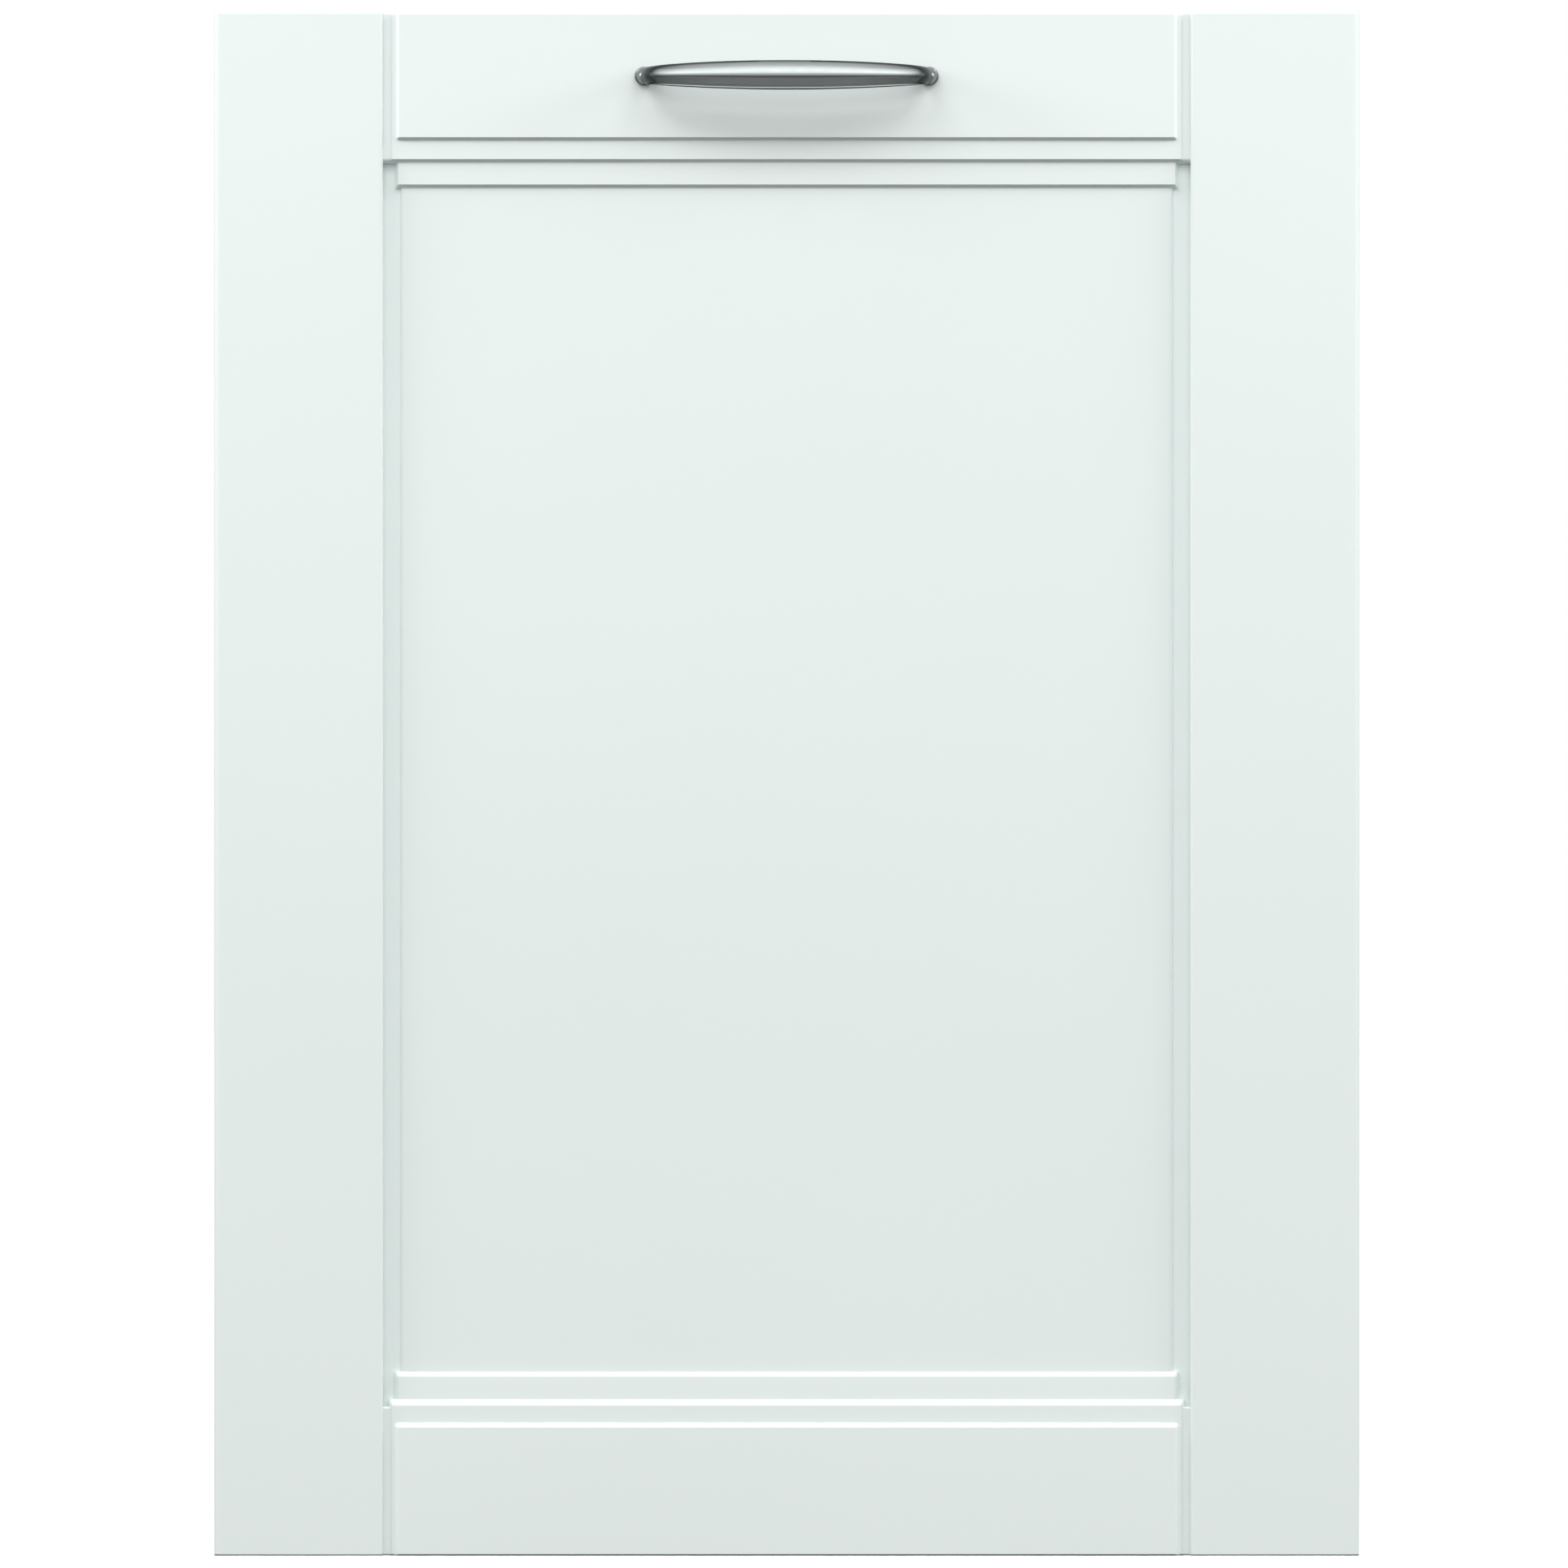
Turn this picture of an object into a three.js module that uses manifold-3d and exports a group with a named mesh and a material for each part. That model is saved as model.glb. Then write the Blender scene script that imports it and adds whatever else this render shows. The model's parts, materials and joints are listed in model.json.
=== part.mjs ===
// Built-in dishwasher, 600 mm wide, with a furniture front.
// Millimetres. +X right, the front faces -Y, +Z up. The origin is on the floor, in the middle of the footprint.
import * as THREE from "three";
import { mergeVertices } from "three/addons/utils/BufferGeometryUtils.js";
import Module from "manifold-3d";

const wasm = await Module();
wasm.setup();

// ---------------------------------------------------------------- driving dimensions
const FREE = 0.3; // gap between pieces that touch
const FRONT = -301; // foremost point of the handle
const BACK = 301; // rearmost point of the back connections

const PANEL = { half: 299, bottom: 78, top: 886, front: -269, thickness: 20 };
const PANEL_BACK = PANEL.front + PANEL.thickness;
// Levels of the panel's relief: depth below the stiles, inset of the upright edges from the panel's sides,
// and inset of the horizontal edges from the panel's top and bottom.
const RELIEF = [
  { depth: 0, side: 94.1, fromTop: 68.7, fromBottom: 69.6 },
  { depth: 2, side: 91.3, fromTop: 80.1, fromBottom: 81.7 },
  { depth: 4, side: 94.5, fromTop: 93.3, fromBottom: 96.1 },
];
const FIELD = { depth: 6, side: 97.9 };
const GROOVE_DEPTH = 8;
const STILE = 88.1;

const HANDLE = {
  span: 150, // between the middles of the two screws
  overall: 158.5,
  fromTop: 35.2,
  middleHeight: 15.5,
  endHeight: 9.4,
  bar: 7,
  squareness: 0.68, // 1 would be a half ellipse seen from above, 0 a rectangle
};
const HANDLE_Z = PANEL.top - HANDLE.fromTop;
const SCREW = { shank: 2, thread: 2.3, through: 2.5, grip: 6.5, head: 4.5, headHeight: 2.8, sink: 5.5 };

const HINGE = { y: -224, z: 130, pin: 4, arm: 14 };
const DOOR = { half: 297, top: 872, bottom: 106, sheet: 1.2, linerFace: -190, fasciaBottom: 836 };
const SKIN_Y = PANEL_BACK + FREE;
const SKIN_SIDE = { back: -197, bottom: 160 };
const MAT = { half: 270, thickness: 10, bottom: 170, top: 828 };
const LINER = { half: 293, lowHalf: 275, bottom: 166, depth: 13 };
const LOCK = { half: 34, front: -236, bottom: 842, top: 868.5, slotHalf: 15, slotFront: -228 };
const LOCK_SLOT = [855, 867]; // heights of the slot that takes the strike
const STRIKE = { half: 26, plate: 2, bottom: 861, top: 882, tongueHalf: 10, tongueTop: 864, tip: -222 };

const TUB = { half: 262, front: -187, back: 262, floor: 164, top: 850, wall: 2, flange: 17 };
const FRAME = { inner: 281, outer: 297, top: 884, bottom: 165, beam: 16, depth: 36, sheet: 2 };
const BASE = { half: 286, front: -155, back: 296, bottom: 22, top: 138, wall: 3 };
const TOE = { half: 297, front: -163, bottom: 12, top: 104, thickness: 4 };
const FOOT = { x: 245, yFront: -110, yBack: 250, pad: 20, stem: 6, rim: 4, padHeight: 9, top: 48 };
const GASKET = { inset: 1, width: 8.5, lift: 0.4 };
const EXCHANGER = { front: -140, back: 250, bottom: 190, top: 840, rib: 30, ribRise: 8 };
const EXCHANGER_RIBS = [280, 400, 520, 640, 760]; // heights of the ribs' lower edges

const RACK = { half: 245, front: -172, back: 236, sheet: 3, bar: 7, columns: 6, rows: 5 };
const LOWER_RACK = { floor: 205, rim: 300 };
const UPPER_RACK = { floor: 520, rim: 640 };
const TRAY = { floor: 768, rim: 808 };
const TINES = { x: -204, shaft: 3, lift: 10, length: 92, count: 7, seats: [1, 4] };
const WHEEL = { r: 17, width: 7, x: 249.5, ys: [-60, 170], axle: 3.6 };
const RAIL = { z: 598, height: 18, outer: TUB.half - 0.5, inner: 250.5 };

const ARM = { y: 32, lowerZ: 178, upperZ: 497, thickness: 11, reach: 200, hub: 24, tip: 13 };
const SUMP = { y: -62, r: 96, floor: 96 };
const FILTER = { r: 38, collar: 41 };
const SALT = { x: -170, y: -40, r: 30, bottom: 152, collar: 165.4, top: 170 };
const SOFTENER = { x: [-232, -118], y: [-110, 40], z: [62, 150], wall: 4 };
const RISER = { y: 243, depth: 15, half: 14, top: 842, run: 9, jet: 20, jetDepth: 14 };
const PUMP = { y: 105, motor: { r: 42, x: [-40, 70], z: 78 }, volute: { r: 50, x: [-78, -38], z: 82 } };
const DRAIN = { y: 20, motor: { r: 24, x: [100, 160], z: 62 }, head: { r: 30, x: [86, 102], z: 66 } };
const INLET = { x: 200, z: 90, block: 24, heightHalf: 26, spigot: 12 };
const SOCKET = { x: 110, z: 90, half: [21, 15], hollow: [16, 10] };
const DISPENSER = { left: -72, right: 108, bottom: 430, top: 545, back: -228, proud: 6 };
const LID = { left: -64, right: -10, trackRight: 40, thickness: 2.5 };
const CHAMBER = { left: -58, right: -16, inset: 16, depth: 27 };
const RINSE = { x: 72, z: 488, r: 14, depth: 10 };

const BUTTONS = { power_button: -250, programme_button: -110, option_button: 170, start_button: 240 };
const BUTTON = { r: 7, y: -218 };
const DISPLAY = { left: -60, right: 60, front: -230, back: -206 };

// ---------------------------------------------------------------- materials
const finish = (color, roughness, metalness) => () =>
  new THREE.MeshStandardMaterial({ color, roughness, metalness });
const lacquer = finish("#e2ebe8", 0.38, 0);
const satinSteel = finish("#a9a9a7", 0.34, 1);
const stainless = finish("#b9bcbd", 0.3, 1);
const galvanised = finish("#9aa0a3", 0.5, 0.9);
const whitePlastic = finish("#eceeec", 0.5, 0);
const greyPlastic = finish("#8d9296", 0.5, 0);
const blackPlastic = finish("#1f2123", 0.55, 0);
const bluePlastic = finish("#2f5f96", 0.45, 0);
const darkGlass = finish("#111416", 0.1, 0);
const rubber = finish("#2b2c2d", 0.8, 0);
const felt = finish("#4a4a48", 0.95, 0);
const coatedWire = finish("#c9ced0", 0.35, 0.2);

// ---------------------------------------------------------------- solids
// A closed three.js geometry as a solid that can be cut and joined.
function solid(geometry) {
  const bare = new THREE.BufferGeometry();
  const source = geometry.index ? geometry.toNonIndexed() : geometry;
  bare.setAttribute("position", source.getAttribute("position"));
  const merged = mergeVertices(bare, 1e-4);
  return new wasm.Manifold(
    new wasm.Mesh({
      numProp: 3,
      vertProperties: merged.attributes.position.array,
      triVerts: new Uint32Array(merged.index.array),
    }),
  );
}

const join = (...pieces) => pieces.reduce((whole, piece) => whole.add(piece));
const cut = (body, ...tools) => tools.reduce((rest, tool) => rest.subtract(tool), body);

// A box between two corners, given as x, y and z ranges.
function box([x0, x1], [y0, y1], [z0, z1]) {
  const shape = new THREE.BoxGeometry(x1 - x0, y1 - y0, z1 - z0);
  return solid(shape.translate((x0 + x1) / 2, (y0 + y1) / 2, (z0 + z1) / 2));
}

// A range that reaches the same distance to both sides of the middle plane.
const both = (half) => [-half, half];
// A range mirrored to the left side when side is -1.
const onSide = (side, [a, b]) => (side > 0 ? [a, b] : [-b, -a]);

// A cylinder along an axis, between two places on that axis, centred on the other two coordinates.
function rod(axis, r, [from, to], [a, b], sides = 16) {
  const shape = new THREE.CylinderGeometry(r, r, to - from, sides);
  const middle = (from + to) / 2;
  if (axis === "x") return solid(shape.rotateZ(Math.PI / 2).translate(middle, a, b));
  if (axis === "y") return solid(shape.translate(a, middle, b));
  return solid(shape.rotateX(Math.PI / 2).translate(a, b, middle));
}

// A solid of revolution about +Z through (x, y), from [radius, height] points that start and end on the axis
// or close on themselves.
function turned(points, [x, y], sides = 24) {
  const profile = points.map(([r, z]) => new THREE.Vector2(r, z));
  return solid(new THREE.LatheGeometry(profile, sides).rotateX(Math.PI / 2).translate(x, y, 0));
}

// A sheet cut to an outline drawn in the Y-Z plane, thick along X.
function plateX(outline, [x0, x1]) {
  const shape = new THREE.Shape(outline.map(([y, z]) => new THREE.Vector2(y, z)));
  const sheet = new THREE.ExtrudeGeometry(shape, { depth: x1 - x0, bevelEnabled: false });
  return solid(sheet.rotateY(Math.PI / 2).rotateX(Math.PI / 2).translate(x0, 0, 0));
}

// A sheet cut to an outline drawn in the X-Y plane, thick along Z.
function plateZ(shape, [z0, z1]) {
  return solid(new THREE.ExtrudeGeometry(shape, { depth: z1 - z0, bevelEnabled: false, curveSegments: 10 })
    .translate(0, 0, z0));
}

// An open box: a floor and four walls, thickness t, open at the top.
function tray([x0, x1], [y0, y1], [z0, z1], t) {
  const outer = box([x0, x1], [y0, y1], [z0, z1]);
  return cut(outer, box([x0 + t, x1 - t], [y0 + t, y1 - t], [z0 + t, z1 + 1]));
}

const group = new THREE.Group();

function add(name, material, body) {
  const { vertProperties, triVerts, numProp } = body.getMesh();
  const positions = new Float32Array((vertProperties.length / numProp) * 3);
  for (let i = 0; i < positions.length / 3; i++)
    for (let k = 0; k < 3; k++) positions[3 * i + k] = vertProperties[i * numProp + k];
  const geometry = new THREE.BufferGeometry();
  geometry.setAttribute("position", new THREE.BufferAttribute(positions, 3));
  geometry.setIndex(new THREE.BufferAttribute(new Uint32Array(triVerts), 1));
  const mesh = new THREE.Mesh(geometry, material());
  mesh.name = name;
  group.add(mesh);
}

// ---------------------------------------------------------------- furniture front
function furniturePanel() {
  const full = [PANEL.bottom, PANEL.top];
  const layer = (half, depth, z) => box(both(half), [PANEL.front + depth, PANEL_BACK], z);
  let board = layer(PANEL.half, GROOVE_DEPTH, full);
  board = board.add(layer(PANEL.half - FIELD.side, FIELD.depth, full));
  for (const { depth, side, fromTop, fromBottom } of RELIEF) {
    board = board.add(layer(PANEL.half - side, depth, [PANEL.top - fromTop, PANEL.top]));
    board = board.add(layer(PANEL.half - side, depth, [PANEL.bottom, PANEL.bottom + fromBottom]));
  }
  for (const side of [-1, 1]) {
    const x = onSide(side, [PANEL.half - STILE, PANEL.half]);
    board = board.add(box(x, [PANEL.front, PANEL_BACK], full));
    const at = [(side * HANDLE.span) / 2, HANDLE_Z];
    board = cut(
      board,
      rod("y", SCREW.through, [PANEL.front - 1, PANEL_BACK + 1], at, 12),
      rod("y", SCREW.sink, [PANEL_BACK - SCREW.headHeight - 1.2, PANEL_BACK + 1], at, 12),
    );
  }
  return board;
}

// A squared arch between two feet, from (half, 0) over (0, rise) to (-half, 0).
function arch(half, rise, steps) {
  const { squareness } = HANDLE;
  const points = [];
  for (let i = 0; i <= steps; i++) {
    const angle = (Math.PI * i) / steps;
    const x = half * Math.sign(Math.cos(angle)) * Math.abs(Math.cos(angle)) ** squareness;
    points.push(new THREE.Vector2(x, rise * Math.sin(angle) ** squareness));
  }
  return points;
}

// The bow: its outline from above, a squared arch, meets its outline from the front, tallest in the middle.
function bowHandle() {
  const { span, overall, endHeight, middleHeight, bar } = HANDLE;
  const end = overall / 2;
  const base = PANEL.front - FREE;
  const reach = base - FRONT;
  const steps = 16;
  const outer = arch(end, reach, steps);
  const inner = arch(end - endHeight, reach - bar, steps).reverse();
  const outline = [...outer, ...inner].map(({ x, y }) => new THREE.Vector2(x, base - y));
  const above = plateZ(new THREE.Shape(outline), [HANDLE_Z - middleHeight, HANDLE_Z + middleHeight]);
  const grow = (x) => (middleHeight - endHeight) * (1 - (x / end) ** 2);
  const upper = [];
  const lower = [];
  for (let i = 0; i <= steps; i++) {
    const x = end * (1 - (2 * i) / steps);
    upper.push(new THREE.Vector2(x, endHeight / 2 + grow(x) / 2));
    lower.push(new THREE.Vector2(-x, -endHeight / 2 - grow(x) / 2));
  }
  const swollen = new THREE.ExtrudeGeometry(new THREE.Shape([...upper, ...lower]), {
    depth: reach + 10,
    bevelEnabled: false,
  });
  const front = solid(swollen.rotateX(Math.PI / 2).translate(0, base + 5, HANDLE_Z));
  let bow = above.intersect(front);
  const thread = [PANEL.front - SCREW.grip, base + 1];
  for (const side of [-1, 1])
    bow = bow.subtract(rod("y", SCREW.thread, thread, [(side * span) / 2, HANDLE_Z], 12));
  return bow;
}

function handleScrew(side) {
  const at = [(side * HANDLE.span) / 2, HANDLE_Z];
  const back = PANEL_BACK - 0.4;
  const head = rod("y", SCREW.head, [back - SCREW.headHeight, back], at, 12);
  return head.add(rod("y", SCREW.shank, [PANEL.front - SCREW.grip + 0.5, back - 1], at, 12));
}

// ---------------------------------------------------------------- door
function doorOuterSkin() {
  const t = DOOR.sheet;
  let skin = box(both(DOOR.half), [SKIN_Y, SKIN_Y + t], [DOOR.bottom, DOOR.top]);
  for (const side of [-1, 1]) {
    const x = onSide(side, [DOOR.half - t, DOOR.half]);
    skin = skin.add(box(x, [SKIN_Y, SKIN_SIDE.back], [SKIN_SIDE.bottom, DOOR.fasciaBottom - FREE]));
  }
  return skin;
}

function doorInsulation() {
  const front = SKIN_Y + DOOR.sheet;
  return box(both(MAT.half), [front + FREE, front + MAT.thickness], [MAT.bottom, MAT.top]);
}

function doorInnerLiner() {
  const t = DOOR.sheet;
  const face = DOOR.linerFace;
  const upper = [LINER.bottom, DOOR.fasciaBottom - FREE];
  let liner = box(both(LINER.half), [face - t, face], upper);
  liner = liner.add(box(both(LINER.lowHalf), [face - t, face], [HINGE.z, upper[0] + 1]));
  for (const side of [-1, 1]) {
    const x = onSide(side, [LINER.half - t, LINER.half]);
    liner = liner.add(box(x, [face - LINER.depth, face - t / 2], upper));
  }
  const { left, right, bottom, top } = DISPENSER;
  return cut(liner, box([left - FREE, right + FREE], [face - 9, face + 9], [bottom - FREE, top + FREE]));
}

function controlFascia() {
  const front = SKIN_Y + DOOR.sheet + FREE;
  const wall = 3;
  const z = [DOOR.fasciaBottom, DOOR.top];
  const lockOpening = [DOOR.linerFace - 10, DOOR.linerFace + 1];
  let fascia = box(both(DOOR.half), [front, DOOR.linerFace], z);
  fascia = cut(
    fascia,
    box(both(DOOR.half - wall), [front + wall, DOOR.linerFace - wall], [z[0] - 1, z[1] - wall]),
    box(both(LOCK.slotHalf + 1), lockOpening, [LOCK_SLOT[0] - 1, LOCK_SLOT[1] + 1]),
    box([DISPLAY.left, DISPLAY.right], [DISPLAY.front, DISPLAY.back], [DOOR.top - 2, DOOR.top + 1]),
  );
  for (const x of Object.values(BUTTONS))
    fascia = cut(fascia, rod("z", BUTTON.r + 0.5, [DOOR.top - 4, DOOR.top + 1], [x, BUTTON.y], 12));
  return fascia;
}

function displayWindow() {
  const x = [DISPLAY.left + FREE, DISPLAY.right - FREE];
  const y = [DISPLAY.front + FREE, DISPLAY.back - FREE];
  return box(x, y, [DOOR.top - 2 + FREE, DOOR.top]);
}

// A round cap with a wider collar below the fascia's top wall, which keeps it from falling out.
function fasciaButton(x) {
  const top = DOOR.top + 1.6;
  const collar = DOOR.top - 3 - FREE;
  const points = [
    [0, collar - 3],
    [BUTTON.r + 2, collar - 3],
    [BUTTON.r + 2, collar],
    [BUTTON.r, collar],
    [BUTTON.r, top - 0.8],
    [BUTTON.r - 0.8, top],
    [0, top],
  ];
  return turned(points, [x, BUTTON.y], 12);
}

function doorLock() {
  const body = box(both(LOCK.half), [LOCK.front, DOOR.linerFace - 3.5], [LOCK.bottom, LOCK.top]);
  return cut(body, box(both(LOCK.slotHalf), [LOCK.slotFront, DOOR.linerFace], LOCK_SLOT));
}

function dispenserHousing() {
  const { left, right, bottom, top, back, proud } = DISPENSER;
  const face = DOOR.linerFace + proud;
  const body = box([left + FREE, right - FREE], [back, face], [bottom + FREE, top - FREE]);
  const trackY = [face - LID.thickness - 0.5, face + 1];
  const track = box([LID.left, LID.trackRight], trackY, [bottom + 8, top - 8]);
  const chamberZ = [bottom + CHAMBER.inset, top - CHAMBER.inset];
  const chamber = box([CHAMBER.left, CHAMBER.right], [face - CHAMBER.depth, face + 1], chamberZ);
  const rinseWell = rod("y", RINSE.r, [face - RINSE.depth, face + 1], [RINSE.x, RINSE.z], 20);
  return cut(body, track, chamber, rinseWell);
}

// The lid slides to the right in its track, off the detergent chamber.
function dispenserLid() {
  const { bottom, top, proud } = DISPENSER;
  const face = DOOR.linerFace + proud;
  const y = [face - LID.thickness - 0.2, face - 0.2];
  const lid = box([LID.left + FREE, LID.right], y, [bottom + 8.4, top - 8.4]);
  const middle = (bottom + top) / 2;
  return lid.add(box([LID.right - 10, LID.right - 4], [face - 1, face + 2.5], [middle - 17, middle + 17]));
}

function rinseAidCap() {
  const face = DOOR.linerFace + DISPENSER.proud;
  const disc = rod("y", RINSE.r - 0.6, [face - RINSE.depth + 0.4, face - 0.2], [RINSE.x, RINSE.z], 20);
  return disc.add(box([RINSE.x - 2.5, RINSE.x + 2.5], [face - 1, face + 2.5], [RINSE.z - 10, RINSE.z + 10]));
}

function hingeArm(side) {
  const around = [];
  for (let i = 0; i <= 8; i++) {
    const angle = Math.PI + (Math.PI * i) / 8;
    around.push([HINGE.y + HINGE.arm * Math.cos(angle), HINGE.z + HINGE.arm * Math.sin(angle)]);
  }
  const outline = [...around, [HINGE.y + HINGE.arm, 280], [HINGE.y - HINGE.arm, 280]];
  const arm = plateX(outline, onSide(side, [283, 286]));
  return cut(arm, rod("x", HINGE.pin + 0.5, onSide(side, [280, 289]), [HINGE.y, HINGE.z], 16));
}

// ---------------------------------------------------------------- body
function hingeBracket(side) {
  const tongue = [];
  for (let i = 0; i <= 8; i++) {
    const angle = Math.PI / 2 + (Math.PI * i) / 8;
    tongue.push([HINGE.y + 15 * Math.cos(angle), HINGE.z + 15 * Math.sin(angle)]);
  }
  const foot = [[-156, HINGE.z - 15], [-148, 60], [-90, 60], [-90, 160], [-186, 160], [-186, HINGE.z + 15]];
  const plate = plateX([...tongue, ...foot], onSide(side, [289, 292]));
  const pin = rod("x", HINGE.pin, onSide(side, [281, 291]), [HINGE.y, HINGE.z], 16);
  return plate.add(pin);
}

function tub() {
  const { half, front, back, floor, top, wall, flange } = TUB;
  const outer = box(both(half + wall), [front, back + wall], [floor - wall, top + wall]);
  const rim = box(both(half + flange), [front, front + wall], [floor - 14, top + 14]);
  return cut(
    outer.add(rim),
    box(both(half), [front - 1, back], [floor, top]),
    rod("z", SUMP.r + 5, [floor - 10, floor + 1], [0, SUMP.y], 24),
    rod("z", SALT.r + 4, [floor - 10, floor + 1], [SALT.x, SALT.y], 24),
  );
}

function tubGasket() {
  const { inset, width, lift } = GASKET;
  const y = [DOOR.linerFace + lift, TUB.front - FREE];
  const loop = (grow) => [both(TUB.half + inset + grow), [TUB.floor - inset - grow, TUB.top + inset + grow]];
  const [outerX, outerZ] = loop(width);
  const [innerX, innerZ] = loop(0);
  return cut(box(outerX, y, outerZ), box(innerX, [y[0] - 1, y[1] + 1], innerZ));
}

// Two uprights and a cross-member in one channel of folded sheet, whose open side faces the tub.
function portalFrame(y, bottom, opening) {
  const { inner, outer, top, beam, sheet } = FRAME;
  const whole = box(both(outer), y, [bottom, top]);
  const portal = cut(whole, box(both(inner), [y[0] - 1, y[1] + 1], [bottom - 1, top - beam]));
  const hollow = box(both(outer - sheet), opening, [bottom - 1, top - sheet]);
  const core = box(both(inner + sheet), [opening[0] - 1, opening[1] + 1], [bottom - 2, top - beam + sheet]);
  return portal.subtract(hollow.subtract(core));
}

function frontFrame() {
  const y = [TUB.front, TUB.front + FRAME.depth];
  return portalFrame(y, FRAME.bottom, [y[0] + FRAME.sheet, y[1] + 1]);
}

function rearFrame() {
  const y = [BASE.back - FRAME.depth - FREE, BASE.back];
  return portalFrame(y, BASE.top + FREE, [y[0] - 1, y[1] - FRAME.sheet]);
}

function topCover() {
  const y = [TUB.front + FRAME.depth + FREE, BASE.back - FRAME.depth - 2 * FREE];
  const sheet = box(both(FRAME.outer), y, [FRAME.top - 1.5, FRAME.top]);
  const lip = (side) => box(onSide(side, [FRAME.outer - 1.5, FRAME.outer]), y, [FRAME.top - 16, FRAME.top]);
  return join(sheet, lip(-1), lip(1));
}

function baseTray() {
  const { half, front, back, bottom, top, wall } = BASE;
  let base = tray(both(half), [front, back], [bottom, top], wall);
  for (const x of [-FOOT.x, FOOT.x])
    for (const y of [FOOT.yFront, FOOT.yBack])
      base = cut(base, rod("z", FOOT.stem + 0.4, [bottom - 1, bottom + wall + 1], [x, y], 16));
  const through = [back - wall - 2, back + 1];
  const [halfX, halfZ] = SOCKET.half;
  return cut(
    base,
    rod("y", INLET.spigot + 0.5, through, [INLET.x, INLET.z], 16),
    box([SOCKET.x - halfX - 1, SOCKET.x + halfX + 1], through, [SOCKET.z - halfZ - 1, SOCKET.z + halfZ + 1]),
  );
}

function toeKickPlate() {
  return box(both(TOE.half), [TOE.front, TOE.front + TOE.thickness], [TOE.bottom, TOE.top]);
}

function levellingFoot(x, y) {
  const { pad, stem, rim, padHeight, top } = FOOT;
  const base = [[0, 0], [pad, 0], [pad, rim], [stem + 3, padHeight]];
  return turned([...base, [stem, padHeight], [stem, top], [0, top]], [x, y], 16);
}

// A hooked tongue on the front frame's cross-member, which reaches into the lock's slot.
function lockStrike() {
  const face = TUB.front - FREE;
  const { half, plate, bottom, top, tongueHalf, tongueTop, tip } = STRIKE;
  const flat = box(both(half), [face - plate, face], [bottom, top]);
  const tongue = box(both(tongueHalf), [tip, face - plate / 2], [bottom, tongueTop]);
  return cut(flat.add(tongue), box(both(tongueHalf / 2), [tip + 5, tip + 14], [bottom - 1, tongueTop + 1]));
}

// A flat water-filled box beside the tub, with pressed ribs on its outer face.
function heatExchanger() {
  const { front, back, bottom, top, rib, ribRise } = EXCHANGER;
  const x = [-FRAME.inner + 2, -TUB.half - TUB.wall - FREE];
  const body = box(x, [front, back], [bottom, top]);
  const ribAt = (z) => box([x[0] - ribRise, x[0] + 1], [front + 15, back - 15], [z, z + rib]);
  return join(body, ...EXCHANGER_RIBS.map(ribAt));
}

// ---------------------------------------------------------------- water path
function sump() {
  const top = TUB.floor - FREE;
  const { r, floor, y } = SUMP;
  const points = [
    [0, floor - 3],
    [52, floor - 3],
    [62, floor + 20],
    [r, top - 14],
    [r + 3.5, top - 8],
    [r + 3.5, top],
    [r - 3, top],
    [r - 3, top - 12],
    [59, floor + 22],
    [49, floor],
    [0, floor],
  ];
  return turned(points, [0, y], 24);
}

function flatFilter() {
  const z = [TUB.floor - 9, TUB.floor - 6.5];
  const disc = rod("z", SUMP.r - 3.6, z, [0, SUMP.y], 24);
  return cut(disc, rod("z", FILTER.collar, [z[0] - 1, z[1] + 1], [0, SUMP.y], 24));
}

function filterCylinder() {
  const top = TUB.floor + 2;
  const { r } = FILTER;
  const points = [
    [r - 3, 104],
    [r, 104],
    [r, top],
    [r - 8, top + 1.5],
    [r - 8, top - 2],
    [r - 3, top - 3.5],
    [r - 3, 104],
  ];
  const mesh = turned(points, [0, SUMP.y], 24);
  const grip = box(both(r - 5), [SUMP.y - 2.5, SUMP.y + 2.5], [top - 3, top + 8]);
  return mesh.add(grip);
}

function softenerTank() {
  const { x, y, z, wall } = SOFTENER;
  const inside = ([a, b]) => [a + wall, b - wall];
  const bore = rod("z", SALT.r - 3, [z[1] - 2 * wall, TUB.floor + 2], [SALT.x, SALT.y], 24);
  const neck = rod("z", SALT.r + 2, [z[1] - 1, TUB.floor + 1], [SALT.x, SALT.y], 24);
  return cut(cut(box(x, y, z), box(inside(x), inside(y), inside(z))).add(neck), bore);
}

// A stopper in the softener's neck, with a wider collar and a grip bar on top.
function saltCap() {
  const { x, y, r, bottom, collar, top } = SALT;
  const points = [[0, bottom], [r - 4, bottom], [r - 4, collar], [r + 3, collar], [r + 3, top], [0, top + 1]];
  return turned(points, [x, y], 24).add(box([x - 20, x + 20], [y - 2.5, y + 2.5], [top, top + 6]));
}

function circulationPump() {
  const { y, motor, volute } = PUMP;
  const outlet = box([volute.x[0] + 8, volute.x[1] - 8], [y - 35, y - 5], [volute.z + 18, volute.z + 58]);
  return join(
    rod("x", motor.r, motor.x, [y, motor.z], 24),
    rod("x", volute.r, volute.x, [y, volute.z], 24),
    outlet,
  );
}

function drainPump() {
  const { y, motor, head } = DRAIN;
  const outlet = rod("y", 8, [y, y + 60], [(head.x[0] + head.x[1]) / 2, head.z + 18], 12);
  const body = rod("x", motor.r, motor.x, [y, motor.z], 20);
  return join(body, rod("x", head.r, head.x, [y, head.z], 20), outlet);
}

function inletValve() {
  const { x, z, block, heightHalf, spigot } = INLET;
  const y = [BASE.back - 60, BASE.back - 12];
  const body = box([x - block, x + block], y, [z - heightHalf, z + heightHalf]);
  return body.add(rod("y", spigot, [BASE.back - 14, BACK], [x, z], 16));
}

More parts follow.
